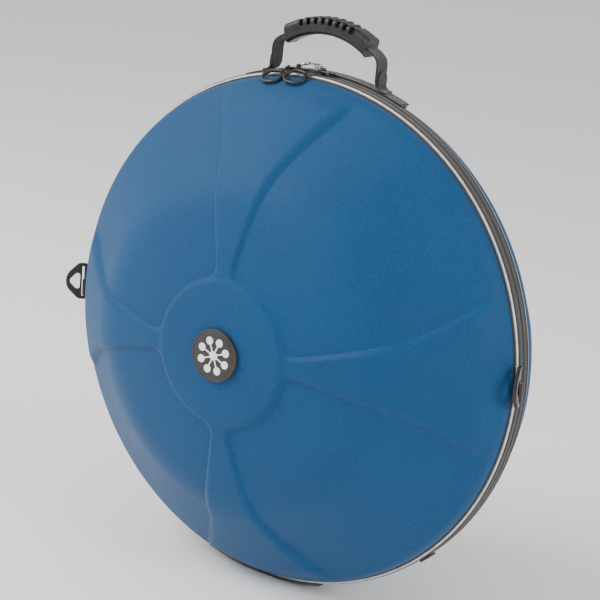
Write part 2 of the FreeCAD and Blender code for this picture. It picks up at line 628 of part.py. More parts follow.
base_strip = back_body("handle_base")
make_arc_strip(base_strip, "strip_in", "strip_t", "strip_start", "strip_w", "strip_span", 90)
make_arc_strip(base_strip, "pad_in", "pad_t", "pad_start", "pad_w", "strip_span", 90)
for side, sign in (("left", -1), ("right", 1)):
    place = ("%d * dims.anchor_x" % sign, "dims.handle_y", "dims.ring_z")
    anchor = new_body("handle_anchor_" + side, place)
    lean = math.degrees(math.asin(size("anchor_x") / size("strip_in")))
    turn = Rotation(Vector(0, 1, 0), sign * lean)
    inner_end = -1 if sign > 0 else -17
    corner = turn.multVec(Vector(inner_end, 0, 305.15)) - Vector(sign * size("anchor_x"), 0, 0)
    sole = {"Length": "18", "Width": "dims.strip_w", "Height": "dims.strip_t * 0.8"}
    at = ("%.6f" % corner.x, "-dims.strip_w / 2", "%.6f" % corner.z)
    primitive(anchor, "AdditiveBox", anchor.Name + "_sole", sole, at, turn)
    plate = {"Length": "dims.strip_t", "Width": "dims.strip_w", "Height": "dims.pivot_h - 297"}
    at = ("-dims.strip_t / 2", "-dims.strip_w / 2", "297")
    primitive(anchor, "AdditiveBox", anchor.Name + "_plate", plate, at)
    round_end = {"Radius": "dims.strip_w / 2", "Height": "dims.strip_t"}
    at = ("-dims.strip_t / 2", "0", "dims.pivot_h")
    primitive(anchor, "AdditiveCylinder", anchor.Name + "_end", round_end, at, TO_X)

webbing = handle_body("handle_webbing")
make_arc_strip(webbing, "core_in", "core_t", "core_start", "leg_w", "core_span", 90)
pivot = size("pivot_h") - size("grip_centre")
middle = size("core_in") + size("core_t") / 2
half = math.radians(34)
end_x = middle * math.sin(half)
end_y = middle * math.cos(half)
leg = size("leg_x")
path = [
    Vector(end_x, end_y, 0),
    Vector(end_x + 7.5 * math.cos(half), end_y - 7.5 * math.sin(half), 0),
    Vector(leg - 1.8, pivot + 22.5, 0),
    Vector(leg, pivot + 15.5, 0),
    Vector(leg, pivot, 0),
]


def strap_lines(points, thick):
    """Closed outline of a bent strap that follows points, thick across."""
    sides = []
    for sign in (1, -1):
        side = []
        for i, point in enumerate(points):
            before = (point - points[i - 1]).normalize() if i else None
            after = (points[i + 1] - point).normalize() if i + 1 < len(points) else None
            first = before or after
            second = after or before
            normal = Vector(-first.y - second.y, first.x + second.x, 0).normalize()
            reach = thick / 2 / (normal * Vector(-first.y, first.x, 0))
            side.append(point + normal * (sign * reach))
        sides.append(side)
    outline = sides[0] + sides[1][::-1]
    count = len(outline)
    return [Part.LineSegment(outline[i], outline[(i + 1) % count]) for i in range(count)]


for side, sign in (("left", -1), ("right", 1)):
    points = [Vector(sign * point.x, point.y, 0) for point in path]
    line = new_sketch(webbing, "leg_line_" + side, role="XZ_Plane")
    line.AttachmentOffset = Placement(Vector(0, 0, -20), Rotation())
    line.setExpression("AttachmentOffset.Base.z", "-dims.handle_back")
    strap = strap_lines(points, size("leg_t"))
    add_loop(line, strap)
    join(line, [(i, (i + 1) % len(strap)) for i in range(len(strap))])
    pad = webbing.newObject("PartDesign::Pad", "leg_" + side)
    pad.Profile = line
    pad.Midplane = True
    pad.setExpression("Length", "dims.leg_w")
    webbing.Tip = pad
    round_end = {"Radius": "dims.leg_w / 2", "Height": "dims.leg_t"}
    at = ("%d * dims.leg_x - dims.leg_t / 2" % sign, "dims.handle_back", "dims.pivot_h - dims.grip_centre")
    primitive(webbing, "AdditiveCylinder", "leg_end_" + side, round_end, at, TO_X)

grip = handle_body("handle_grip")
section = new_sketch(grip, "grip_line", 90)
low = size("grip_in")
high = low + size("grip_t")
near = size("grip_start")
far = near + size("grip_w")
corner = size("grip_corner")
add_loop(
    section,
    [
        Part.LineSegment(Vector(low + corner, near, 0), Vector(high - corner, near, 0)),
        arc((high - corner, near + corner), corner, -math.pi / 2, 0),
        Part.LineSegment(Vector(high, near + corner, 0), Vector(high, far - corner, 0)),
        arc((high - corner, far - corner), corner, 0, math.pi / 2),
        Part.LineSegment(Vector(high - corner, far, 0), Vector(low + corner, far, 0)),
        arc((low + corner, far - corner), corner, math.pi / 2, math.pi),
        Part.LineSegment(Vector(low, far - corner, 0), Vector(low, near + corner, 0)),
        arc((low + corner, near + corner), corner, math.pi, 1.5 * math.pi),
    ],
)
join(section, [(i, (i + 1) % 8) for i in range(8)], "Tangent")
for line in (0, 4):
    section.addConstraint(Sketcher.Constraint("Horizontal", line))
for line in (2, 6):
    section.addConstraint(Sketcher.Constraint("Vertical", line))
for curve in (3, 5, 7):
    section.addConstraint(Sketcher.Constraint("Equal", 1, curve))
bind(section, "corner", "dims.grip_corner", "Radius", 1, corner)
bind(section, "inner", "dims.grip_in", "DistanceX", -1, 1, 6, 1, low)
bind(section, "outer", "dims.grip_in + dims.grip_t", "DistanceX", -1, 1, 2, 1, high)
bind(section, "near", "dims.grip_start", "DistanceY", -1, 1, 0, 1, near)
bind(section, "far", "dims.grip_start + dims.grip_w", "DistanceY", -1, 1, 4, 1, far)
revolve(grip, section, "grip_bow", "grip_span")
tunnel = ring_sketch(grip, "tunnel_line", "tunnel_in", "tunnel_t", "tunnel_start", "tunnel_w")
revolve(grip, tunnel, "tunnel", cut=True)
for side, sign in (("left", -1), ("right", 1)):
    inner_angle = math.radians(size("grip_span") / 2)
    outer_angle = math.radians(size("grip_top_span") / 2)
    low_end = Vector(sign * low * math.sin(inner_angle), 0, low * math.cos(inner_angle))
    high_end = Vector(sign * high * math.sin(outer_angle), 0, high * math.cos(outer_angle))
    slant = (high_end - low_end).normalize()
    turn = Rotation(Vector(0, 1, 0), math.degrees(math.atan2(slant.x, slant.z)))
    corner = low_end - slant * 4
    if sign < 0:
        corner = corner - turn.multVec(Vector(14, 0, 0))
    end_cut = {"Length": "14", "Width": "dims.grip_w + 8", "Height": "dims.grip_t + 14"}
    at = ("%.6f" % corner.x, "dims.grip_start - 4", "%.6f" % corner.z)
    primitive(grip, "SubtractiveBox", "grip_end_" + side, end_cut, at, turn)
for side, edge in (("front", "dims.grip_start - 1"), ("back", "dims.grip_start + dims.grip_w - 8")):
    for number in range(8):
        angle = (number - 3.5) * size("notch_pitch")
        turn = Rotation(Vector(0, 1, 0), angle)
        corner = turn.multVec(Vector(-size("notch_w") / 2, 0, 104.2))
        slot = {"Length": "dims.notch_w", "Width": "9", "Height": "5.6"}
        at = ("%.6f" % corner.x, edge, "%.6f" % corner.z)
        primitive(grip, "SubtractiveBox", "slot_%s_%d" % (side, number), slot, at, turn)


# Zip sliders, pull rings, finger loops and their cords.
def zip_turn(side):
    axis = CASE_AXIS if side == "left" else Vector(0, 1, 0)
    return Rotation(axis, size(side + "_turn"))


def zip_body(name, side):
    body = new_body(name, ("", "dims.seam_y", "dims.ring_z"), zip_turn(side))
    body.setExpression("Placement.Rotation.Angle", "dims.%s_turn" % side)
    return body


def oval(body, name, bend, length, tube, frame):
    """Oval ring of round section in the X-Y plane of frame."""
    for end, angle in ((1, -90), (-1, 90)):
        where = frame.multiply(Placement(Vector(end * length / 2, 0, 0), Rotation(UP, angle)))
        add_round(body, "AdditiveTorus", "%s_bend_%d" % (name, end + 1), where)
        body.Tip.Angle3 = 180
        body.Tip.Radius1 = bend
        body.Tip.Radius2 = tube
    for end in (1, -1):
        side = Placement(Vector(-length / 2, end * bend, 0), TO_X)
        add_round(body, "AdditiveCylinder", "%s_side_%d" % (name, end + 1), frame.multiply(side))
        body.Tip.Radius = tube
        body.Tip.Height = length


def add_round(body, kind, name, where):
    feature = body.newObject("PartDesign::" + kind, name)
    feature.AttachmentSupport = [(origin_plane(body, "XY_Plane"), "")]
    feature.MapMode = "FlatFace"
    feature.AttachmentOffset = where
    body.Tip = feature


def rod(body, name, start, end, radius):
    line = end - start
    turn = Rotation(UP, line)
    add_round(body, "AdditiveCylinder", name, Placement(start, turn))
    body.Tip.Radius = radius
    body.Tip.Height = line.Length


def eye(body, name, centre, axis, ring, tube):
    add_round(body, "AdditiveTorus", name, Placement(centre, Rotation(UP, axis)))
    body.Tip.Radius1 = ring
    body.Tip.Radius2 = tube


for side, sign in (("left", 1), ("right", -1)):
    slider = zip_body("slider_" + side, side)
    plate = {"Length": "dims.slider_l", "Width": "dims.slider_w", "Height": "dims.slider_t"}
    at = ("-dims.slider_l / 2", "-dims.slider_w / 2", "dims.slider_bottom")
    primitive(slider, "AdditiveBox", slider.Name + "_plate", plate, at)
    pin_x = "%d * dims.pin_x" % sign
    for number, edge in enumerate(("dims.wire_r + 0.25", "-dims.wire_r - 0.25 - dims.lug_t")):
        lug = {"Length": "3.2", "Width": "dims.lug_t", "Height": "dims.pin_h - dims.slider_bottom + 1.3"}
        at = (pin_x + " - 1.6", edge, "dims.slider_bottom")
        primitive(slider, "AdditiveBox", "%s_lug_%d" % (slider.Name, number), lug, at)
    pin = {"Radius": "dims.pin_r", "Height": "2 * dims.wire_r + 2 * dims.lug_t + 0.5"}
    at = (pin_x, "-dims.wire_r - dims.lug_t - 0.25", "dims.pin_h")
    primitive(slider, "AdditiveCylinder", slider.Name + "_pin", pin, at, TO_Y)
    for number, edge in enumerate((-7.3, 5.3)):
        arm = {"Length": "2", "Width": "dims.rod_y - dims.slider_w / 2 + 1.5", "Height": "3.6"}
        at = ("%.1f" % edge, "-dims.rod_y - 1", "dims.rod_h - 2.6")
        primitive(slider, "AdditiveBox", "%s_arm_%d" % (slider.Name, number), arm, at)
    rod_sizes = {"Radius": "dims.wire_r", "Height": "14"}
    primitive(slider, "AdditiveCylinder", slider.Name + "_rod", rod_sizes, ("-7", "-dims.rod_y", "dims.rod_h"), TO_X)

    puller = zip_body("puller_" + side, side)
    tilt = math.radians(size("link_tilt"))
    ahead = Vector(sign * math.cos(tilt), 0, math.sin(tilt))
    pin_place = Vector(sign * size("pin_x"), 0, size("pin_h"))
    knuckle = {"Radius": "dims.pin_r + dims.eye_gap + 1.1", "Height": "2 * dims.wire_r"}
    primitive(puller, "AdditiveCylinder", puller.Name + "_eye", knuckle, (pin_x, "-dims.wire_r", "dims.pin_h"), TO_Y)
    neck = size("link_neck")
    rod(puller, puller.Name + "_neck", pin_place + ahead * 1.6, pin_place + ahead * neck, size("neck_r"))
    centre = pin_place + ahead * (neck + size("link_r"))
    frame = Rotation(ahead, Vector(0, 0, 0), ahead.cross(Vector(0, sign, 0)), "ZXY")
    add_round(puller, "AdditiveTorus", puller.Name + "_ring", Placement(centre, frame))
    puller.Tip.Radius1 = size("link_r")
    puller.Tip.Radius2 = size("link_wire")
    bore = {"Radius": "dims.pin_r + dims.eye_gap", "Height": "6"}
    primitive(puller, "SubtractiveCylinder", puller.Name + "_bore", bore, (pin_x, "-3", "dims.pin_h"), TO_Y)

    loop_x = size(side + "_loop_x")
    middle = Vector(loop_x, size("loop_y") - size("seam_y"), size("loop_r"))
    slope = Rotation(Vector(1, 0, 0), size("loop_tilt"))
    loop = zip_body("pull_loop_" + side, side)
    oval(loop, loop.Name, size("loop_bend"), size("loop_l"), size("loop_tube"), Placement(middle, slope))

    cord = zip_body("pull_cord_" + side, side)
    wire = Vector(-3, -size("rod_y"), size("rod_h"))
    corner = math.sqrt(0.5)
    bend = size("loop_bend") * corner
    knot = middle + slope.multVec(Vector(size("loop_l") / 2 + bend, bend, 0))
    knot_axis = slope.multVec(Vector(-corner, corner, 0))
    line = (knot - wire).normalize()
    from_wire = (line - Vector(line.x, 0, 0)).normalize()
    from_knot = (line - knot_axis * (line * knot_axis)).normalize()
    eye(cord, cord.Name + "_rod_eye", wire, Vector(1, 0, 0), size("wire_eye"), size("cord_r"))
    eye(cord, cord.Name + "_loop_eye", knot, knot_axis, size("loop_eye"), size("cord_r"))
    first = wire + from_wire * size("wire_eye")
    last = knot - from_knot * size("loop_eye")
    rod(cord, cord.Name + "_run", first, last, size("cord_r"))

# D-rings and the webbing tabs that hold them.
def rounded_loop(sketch, corners, radii):
    """Closed outline with each corner rounded to its own radius."""
    points = [Vector(x, y, 0) for x, y in corners]
    count = len(points)
    first = sketch.GeometryCount
    bends = []
    for i, corner in enumerate(points):
        before = (points[i - 1] - corner).normalize()
        after = (points[(i + 1) % count] - corner).normalize()
        half_angle = before.getAngle(after) / 2
        reach = radii[i] / math.tan(half_angle)
        middle = (before + after).normalize() * (radii[i] / math.sin(half_angle) - radii[i])
        bends.append((corner + before * reach, corner + middle, corner + after * reach))
    for i, (start, middle, end) in enumerate(bends):
        sketch.addGeometry(Part.Arc(start, middle, end))
        sketch.addGeometry(Part.LineSegment(end, bends[(i + 1) % count][0]))
    sketch.addConstraint([Sketcher.Constraint("Block", i) for i in range(first, first + 2 * count)])


for side, forward, shift in (("left", 42, 8), ("right", 73, -8)):
    turn = Rotation(CASE_AXIS, size(side + "_ring_angle"))
    angle = "dims.%s_ring_angle * 1 deg" % side
    place = (
        "dims.bar_h * cos(%s)" % angle,
        "dims.bar_y",
        "dims.ring_z + dims.bar_h * sin(%s)" % angle,
    )
    ring = new_body("d_ring_" + side, place, turn.multiply(Rotation(UP, -forward)))
    half = size("d_half")
    far = size("d_far")
    slot = size("d_slot")
    plate = new_sketch(ring, ring.Name + "_line", role="XZ_Plane")
    outside = [(0, half), (9, half), (far, 7.5), (far, -7.5), (9, -half), (0, -half)]
    outside += [(0, -size("d_clear")), (slot, -size("d_clear")), (slot, size("d_clear")), (0, size("d_clear"))]
    rounded_loop(plate, outside, (0.5, 8, 17, 17, 8, 0.5, 0.3, 0.8, 0.8, 0.3))
    hole = [(7.2, 10.2), (12, 10.2), (far - 5, 2.5), (far - 5, -2.5), (12, -10.2), (7.2, -10.2)]
    rounded_loop(plate, hole, (2.5, 3, 2, 2, 3, 2.5))
    pad = ring.newObject("PartDesign::Pad", ring.Name + "_plate")
    pad.Profile = plate
    pad.Midplane = True
    pad.setExpression("Length", "dims.d_t")
    ring.Tip = pad
    rod(ring, ring.Name + "_bar", Vector(0, 0, 0.6 - half), Vector(0, 0, half - 0.6), size("bar_r"))
    tab = new_body("d_tab_" + side, place, turn)
    low = "%d - dims.tab_l / 2" % shift
    sewn = {"Length": "1.8", "Width": "8.5", "Height": "dims.tab_l"}
    primitive(tab, "AdditiveBox", tab.Name + "_sewn", sewn, ("-3.1", "0", low))
    sleeve = {"Radius": "dims.bar_r + dims.eye_gap + dims.tab_t", "Height": "dims.tab_l"}
    primitive(tab, "AdditiveCylinder", tab.Name + "_sleeve", sleeve, ("0", "0", low))
    bore = {"Radius": "dims.bar_r + dims.eye_gap", "Height": "dims.tab_l + 4"}
    primitive(tab, "SubtractiveCylinder", tab.Name + "_bore", bore, ("0", "0", low + " - 2"))

doc.recompute()
bad = [item.Name for item in doc.Objects if "Invalid" in item.State or "Error" in item.State]
for node in NODES:
    if node.Shape.isNull() or not node.Shape.isValid() or node.Shape.Volume <= 0:
        bad.append(node.Name)
if bad:
    raise RuntimeError("not built: " + ", ".join(bad))
os.makedirs("parts", exist_ok=True)
for node in NODES:
    node.Shape.exportStep("parts/" + node.Label + ".step")
    print(node.Label, len(node.Shape.Solids), round(node.Shape.Volume))
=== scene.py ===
"""Looks of a round moulded handpan case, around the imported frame. Sizes are in millimetres, scaled by MM."""
import json
import math

import bmesh
import bpy
from mathutils import Matrix, Vector, noise


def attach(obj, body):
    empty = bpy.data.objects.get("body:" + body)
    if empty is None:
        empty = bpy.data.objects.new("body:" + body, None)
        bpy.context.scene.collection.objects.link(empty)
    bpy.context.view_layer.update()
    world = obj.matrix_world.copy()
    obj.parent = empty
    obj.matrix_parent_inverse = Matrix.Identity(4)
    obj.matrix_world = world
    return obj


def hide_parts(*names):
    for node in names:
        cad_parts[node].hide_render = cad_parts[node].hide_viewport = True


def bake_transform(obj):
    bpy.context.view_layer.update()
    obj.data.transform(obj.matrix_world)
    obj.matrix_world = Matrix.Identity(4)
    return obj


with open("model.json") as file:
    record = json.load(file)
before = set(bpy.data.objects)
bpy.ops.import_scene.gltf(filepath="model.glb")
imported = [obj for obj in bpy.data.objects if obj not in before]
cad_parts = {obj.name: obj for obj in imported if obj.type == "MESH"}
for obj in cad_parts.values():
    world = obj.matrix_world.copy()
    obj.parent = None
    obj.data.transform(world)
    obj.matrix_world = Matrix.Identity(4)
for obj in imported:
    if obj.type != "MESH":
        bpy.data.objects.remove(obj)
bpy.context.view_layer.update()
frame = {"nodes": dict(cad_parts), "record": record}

MM = 0.001
RING_Z = 305.0
SEAM_Y = -4.0
MOULD_TURN = 4.0


def point(radius, angle, y):
    """World point, in metres, at a radius and angle round the dome axis, in millimetres and degrees."""
    turn = math.radians(angle)
    return Vector((radius * math.cos(turn), y, RING_Z + radius * math.sin(turn))) * MM


# Materials -------------------------------------------------------------------


class Nodes:
    """A short way to write a material's node tree."""

    def __init__(self, name):
        self.material = bpy.data.materials.new(name)
        self.material.use_nodes = True
        self.tree = self.material.node_tree
        self.shader = self.tree.nodes["Principled BSDF"]

    def add(self, kind, inputs=None, **settings):
        node = self.tree.nodes.new(kind)
        for key, value in settings.items():
            setattr(node, key, value)
        for key, value in (inputs or {}).items():
            socket = node.inputs[key]
            if isinstance(value, bpy.types.NodeSocket):
                self.tree.links.new(value, socket)
            else:
                socket.default_value = value
        return node

    def math(self, operation, first, second=0.0):
        return self.add("ShaderNodeMath", {0: first, 1: second}, operation=operation).outputs[0]

    def ramp(self, value, low, high, to_low=0.0, to_high=1.0):
        node = self.add("ShaderNodeMapRange", {0: value, 1: low, 2: high, 3: to_low, 4: to_high})
        return node.outputs[0]

    def colour(self, share, first, second):
        node = self.add("ShaderNodeMix", {0: share}, data_type="RGBA")
        for socket, value in ((node.inputs[6], first), (node.inputs[7], second)):
            if isinstance(value, bpy.types.NodeSocket):
                self.tree.links.new(value, socket)
            else:
                socket.default_value = (*value, 1.0)
        return node.outputs[2]

    def set(self, **values):
        for key, value in values.items():
            socket = self.shader.inputs[key.replace("_", " ")]
            if isinstance(value, bpy.types.NodeSocket):
                self.tree.links.new(value, socket)
            elif isinstance(value, tuple) and len(value) == 3:
                socket.default_value = (*value, 1.0)
            else:
                socket.default_value = value

    def bump(self, height, distance):
        node = self.add("ShaderNodeBump", {"Height": height, "Distance": distance})
        self.tree.links.new(node.outputs[0], self.shader.inputs["Normal"])


def woven(name, dark, light, pitch, depth, use_uv=True, roughness=0.75, sheen=0.3, blotch=18.0, twill=0.0,
          specular=0.3, heather=0.0):
    """Cloth: over-and-under threads of the given pitch in metres, with uneven dye, mixed yarn and a painted
    highlight on convex edges.
    """
    n = Nodes(name)
    where = n.add("ShaderNodeTexCoord").outputs["UV" if use_uv else "Object"]
    parts = n.add("ShaderNodeSeparateXYZ", {0: where})
    across = parts.outputs[0]
    along = parts.outputs[1] if use_uv else parts.outputs[2]
    if twill:
        across = n.math("ADD", across, n.math("MULTIPLY", along, twill))
    turns = 2 * math.pi / pitch
    warp = n.math("SINE", n.math("MULTIPLY", across, turns))
    weft = n.math("SINE", n.math("MULTIPLY", along, turns))
    cross = n.math("MULTIPLY", warp, weft)
    threads = n.ramp(cross, -1.0, 1.0)
    cloud = n.add("ShaderNodeTexNoise", {"Vector": where, "Scale": blotch, "Detail": 4.0}).outputs[0]
    fibre = n.add("ShaderNodeTexNoise", {"Vector": where, "Scale": 2200.0, "Detail": 2.0}).outputs[0]
    pale_edges = n.add("ShaderNodeNewGeometry").outputs["Pointiness"]
    dye = n.math("MULTIPLY", n.ramp(cloud, 0.3, 0.7), 0.35)
    share = n.math("ADD", n.math("MULTIPLY", threads, 0.45), dye)
    share = n.math("ADD", share, n.math("MULTIPLY", fibre, 0.2))
    if heather:
        yarn = n.add("ShaderNodeTexNoise", {"Vector": where, "Scale": 520.0, "Detail": 3.0}).outputs[0]
        share = n.math("ADD", share, n.ramp(yarn, 0.3, 0.7, -heather, heather))
    # Convex edges and ridge tops are painted paler here: a painted highlight along them.
    share = n.math("ADD", share, n.ramp(pale_edges, 0.52, 0.60, 0.0, 0.35))
    n.set(Base_Color=n.colour(share, dark, light))
    n.set(Roughness=n.ramp(cloud, 0.3, 0.7, roughness - 0.06, roughness + 0.06))
    n.set(Sheen_Weight=sheen, Sheen_Roughness=0.45)
    n.shader.inputs["Specular IOR Level"].default_value = specular
    n.bump(n.math("ADD", threads, n.math("MULTIPLY", fibre, 0.5)), depth)
    return n.material


def moulded(name, dark, light, roughness, grain=900.0, depth=0.00012, specular=0.45):
    """Moulded rubber or plastic with a fine spark-eroded grain and paler, rubbed edges."""
    n = Nodes(name)
    where = n.add("ShaderNodeTexCoord").outputs["Object"]
    cells = n.add("ShaderNodeTexNoise", {"Vector": where, "Scale": grain, "Detail": 3.0}).outputs[0]
    cloud = n.add("ShaderNodeTexNoise", {"Vector": where, "Scale": 60.0, "Detail": 5.0}).outputs[0]
    pale_edges = n.add("ShaderNodeNewGeometry").outputs["Pointiness"]
    share = n.math("ADD", n.ramp(cloud, 0.35, 0.7, 0.0, 0.6), n.ramp(pale_edges, 0.53, 0.62, 0.0, 0.7))
    n.set(Base_Color=n.colour(share, dark, light))
    n.set(Roughness=n.ramp(cloud, 0.3, 0.7, roughness - 0.07, roughness + 0.07))
    n.shader.inputs["Specular IOR Level"].default_value = specular
    n.bump(cells, depth)
    return n.material


def metal(name, dark, light, roughness):
    """Plated zinc: even plating, a little tarnish, paler at the edges."""
    n = Nodes(name)
    where = n.add("ShaderNodeTexCoord").outputs["Object"]
    cloud = n.add("ShaderNodeTexNoise", {"Vector": where, "Scale": 240.0, "Detail": 6.0}).outputs[0]
    pale_edges = n.add("ShaderNodeNewGeometry").outputs["Pointiness"]
    share = n.math("ADD", n.ramp(cloud, 0.35, 0.65, 0.0, 0.6), n.ramp(pale_edges, 0.52, 0.6, 0.0, 0.4))
    n.set(Base_Color=n.colour(share, dark, light), Metallic=1.0)
    n.set(Roughness=n.ramp(cloud, 0.3, 0.7, roughness - 0.06, roughness + 0.1))
    n.bump(cloud, 0.00004)
    return n.material


def ribbed_webbing(name, dark, light):
    """Webbing: lengthwise cords with a fine cross weave between firm edges."""
    n = Nodes(name)
    where = n.add("ShaderNodeTexCoord").outputs["UV"]
    parts = n.add("ShaderNodeSeparateXYZ", {0: where})
    along, across = parts.outputs[0], parts.outputs[1]
    slant = n.math("ABSOLUTE", n.math("SINE", n.math("MULTIPLY", across, math.pi / 0.0044)))
    skewed = n.math("ADD", along, n.math("MULTIPLY", slant, 0.0014))
    chevron = n.ramp(n.math("SINE", n.math("MULTIPLY", skewed, 2 * math.pi / 0.0013)), -1.0, 1.0)
    cords = n.math("ABSOLUTE", n.math("SINE", n.math("MULTIPLY", across, math.pi / 0.0011)))
    height = n.math("ADD", n.math("MULTIPLY", chevron, 0.7), n.math("MULTIPLY", cords, 0.5))
    fibre = n.add("ShaderNodeTexNoise", {"Vector": where, "Scale": 2600.0, "Detail": 2.0}).outputs[0]
    share = n.math("ADD", n.math("MULTIPLY", height, 0.55), n.math("MULTIPLY", fibre, 0.3))
    n.set(Base_Color=n.colour(share, dark, light), Roughness=0.78)
    n.set(Sheen_Weight=0.35, Sheen_Roughness=0.4)
    n.shader.inputs["Specular IOR Level"].default_value = 0.3
    n.bump(height, 0.0003)
    return n.material


def reflective(name):
    """Light grey reflective tape: tiny glass beads over a fine knit."""
    n = Nodes(name)
    where = n.add("ShaderNodeTexCoord").outputs["UV"]
    beads = n.add("ShaderNodeTexVoronoi", {"Vector": where, "Scale": 1600.0}).outputs["Distance"]
    cloud = n.add("ShaderNodeTexNoise", {"Vector": where, "Scale": 90.0, "Detail": 5.0}).outputs[0]
    n.set(Base_Color=n.colour(n.ramp(cloud, 0.35, 0.7), (0.52, 0.54, 0.56), (0.72, 0.74, 0.75)))
    n.set(Roughness=n.ramp(cloud, 0.3, 0.7, 0.36, 0.5), Metallic=0.25)
    n.shader.inputs["Specular IOR Level"].default_value = 0.6
    n.bump(beads, 0.00006)
    return n.material


BLUE_DARK = (0.0018, 0.0455, 0.130)
BLUE_LIGHT = (0.007, 0.069, 0.180)
MATERIALS = {
    "shell_fabric": woven("shell_fabric", BLUE_DARK, BLUE_LIGHT, 0.0009, 0.00005, use_uv=False, roughness=0.6,
                          sheen=0.07, blotch=9.0, specular=0.18, heather=0.4),
    "lining": woven("lining", (0.012, 0.012, 0.014), (0.035, 0.035, 0.04), 0.0007, 0.0001, use_uv=False,
                    roughness=0.9, sheen=0.5),
    "piping": reflective("piping"),
    "band_fabric": woven("band_fabric", (0.018, 0.016, 0.015), (0.080, 0.073, 0.068), 0.0011, 0.0002,
                         roughness=0.8, sheen=0.25),
    "zip_tape": woven("zip_tape", (0.024, 0.022, 0.021), (0.085, 0.080, 0.076), 0.0006, 0.0001,
                      roughness=0.85, twill=0.5),
    "zip_coil": moulded("zip_coil", (0.035, 0.032, 0.030), (0.085, 0.079, 0.074), 0.45),
    "foot_rubber": moulded("foot_rubber", (0.018, 0.018, 0.018), (0.06, 0.06, 0.06), 0.6, 500.0, 0.0003),
    "webbing": ribbed_webbing("webbing", (0.007, 0.0065, 0.006), (0.042, 0.039, 0.036)),
    "badge_rubber": moulded("badge_rubber", (0.022, 0.019, 0.017), (0.045, 0.039, 0.035), 0.5, 700.0, 0.0001),
    "badge_print": moulded("badge_print", (0.78, 0.79, 0.79), (0.88, 0.88, 0.87), 0.45, 800.0, 0.00004),
    "grip_rubber": moulded("grip_rubber", (0.005, 0.0055, 0.006), (0.022, 0.024, 0.027), 0.40, 1100.0,
                           0.00008, specular=0.4),
    "slider_metal": metal("slider_metal", (0.05, 0.048, 0.047), (0.14, 0.135, 0.13), 0.32),
    "ring_metal": metal("ring_metal", (0.36, 0.33, 0.31), (0.62, 0.59, 0.56), 0.24),
    "loop_rubber": moulded("loop_rubber", (0.007, 0.007, 0.008), (0.030, 0.031, 0.034), 0.40, 900.0, 0.0001),
    "cord": woven("cord", (0.010, 0.010, 0.011), (0.05, 0.05, 0.052), 0.0006, 0.0001),
    "d_ring_plastic": moulded("d_ring_plastic", (0.004, 0.004, 0.0045), (0.018, 0.018, 0.019), 0.33, 900.0,
                              0.00005, specular=0.35),
}
THREAD = woven("thread", (0.03, 0.028, 0.026), (0.12, 0.11, 0.10), 0.0004, 0.00005, roughness=0.7)
for row in frame["record"]["subparts"]:
    node = frame["nodes"][row["node"]]
    node.data.materials.clear()
    node.data.materials.append(MATERIALS[row["material_slot"]])
    for face in node.data.polygons:
        face.material_index = 0


# Mesh helpers ----------------------------------------------------------------


def tube_faces(rows, count, joined=False, caps=True):
    """Faces of rows of closed sections; joined goes round from the last row to the first."""
    faces = []
    for i in range(rows if joined else rows - 1):
        a, b = i * count, (i + 1) % rows * count
        for k in range(count):
            m = (k + 1) % count
            faces.append((a + k, b + k, b + m, a + m))
    if caps and not joined:
        faces.append(tuple(range(count)))
        faces.append(tuple(range((rows - 1) * count, rows * count)))
    return faces


def dome_faces(rows, steps):
    """Faces of a closed shape: a first vertex, then rings of vertices, then a last vertex."""
    last = 1 + rows * steps
    faces = [(0, 1 + i, 1 + (i + 1) % steps) for i in range(steps)]
    for j in range(rows - 1):
        a, b = 1 + j * steps, 1 + (j + 1) * steps
        faces += [(a + i, b + i, b + (i + 1) % steps, a + (i + 1) % steps) for i in range(steps)]
    a = 1 + (rows - 1) * steps
    faces += [(a + i, last, a + (i + 1) % steps) for i in range(steps)]
    return faces


def shifted(faces, base):
    return [tuple(base + corner for corner in face) for face in faces]


def finish_mesh(name, verts, faces, body, slot, uvs=None, replaces=(), angle=None, material=None):
    """A new piece from vertices in metres and faces, riding on a body."""
    mesh = bpy.data.meshes.new(name)
    mesh.from_pydata([tuple(v) for v in verts], [], faces)
    if uvs:
        layer = mesh.uv_layers.new(name="UVMap")
        for loop in mesh.loops:
            layer.data[loop.index].uv = uvs[loop.vertex_index]
    work = bmesh.new()
    work.from_mesh(mesh)
    bmesh.ops.recalc_face_normals(work, faces=work.faces)
    work.to_mesh(mesh)
    work.free()
    piece = bpy.data.objects.new(name, mesh)
    bpy.context.scene.collection.objects.link(piece)
    mesh.polygons.foreach_set("use_smooth", [True] * len(mesh.polygons))
    if angle:
        mesh.set_sharp_from_angle(angle=math.radians(angle))
    mesh.materials.append(material or MATERIALS[slot])
    if body:
        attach(piece, body)
    if replaces:
        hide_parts(*replaces)
    return piece


def rounded(x0, x1, y0, y1, corner, step=1.0):
    """Outline of a rounded rectangle, as points about one step apart."""
    outline = []
    for cx, cy, start in ((x1 - corner, y1 - corner, 0), (x0 + corner, y1 - corner, 90),
                          (x0 + corner, y0 + corner, 180), (x1 - corner, y0 + corner, 270)):
        for i in range(5):
            turn = math.radians(start + i * 22.5)
            outline.append((cx + corner * math.cos(turn), cy + corner * math.sin(turn)))
    filled = []
    for i, (ax, ay) in enumerate(outline):
        bx, by = outline[(i + 1) % len(outline)]
        count = max(1, round(math.hypot(bx - ax, by - ay) / step))
        filled += [(ax + (bx - ax) * k / count, ay + (by - ay) * k / count) for k in range(count)]
    return filled


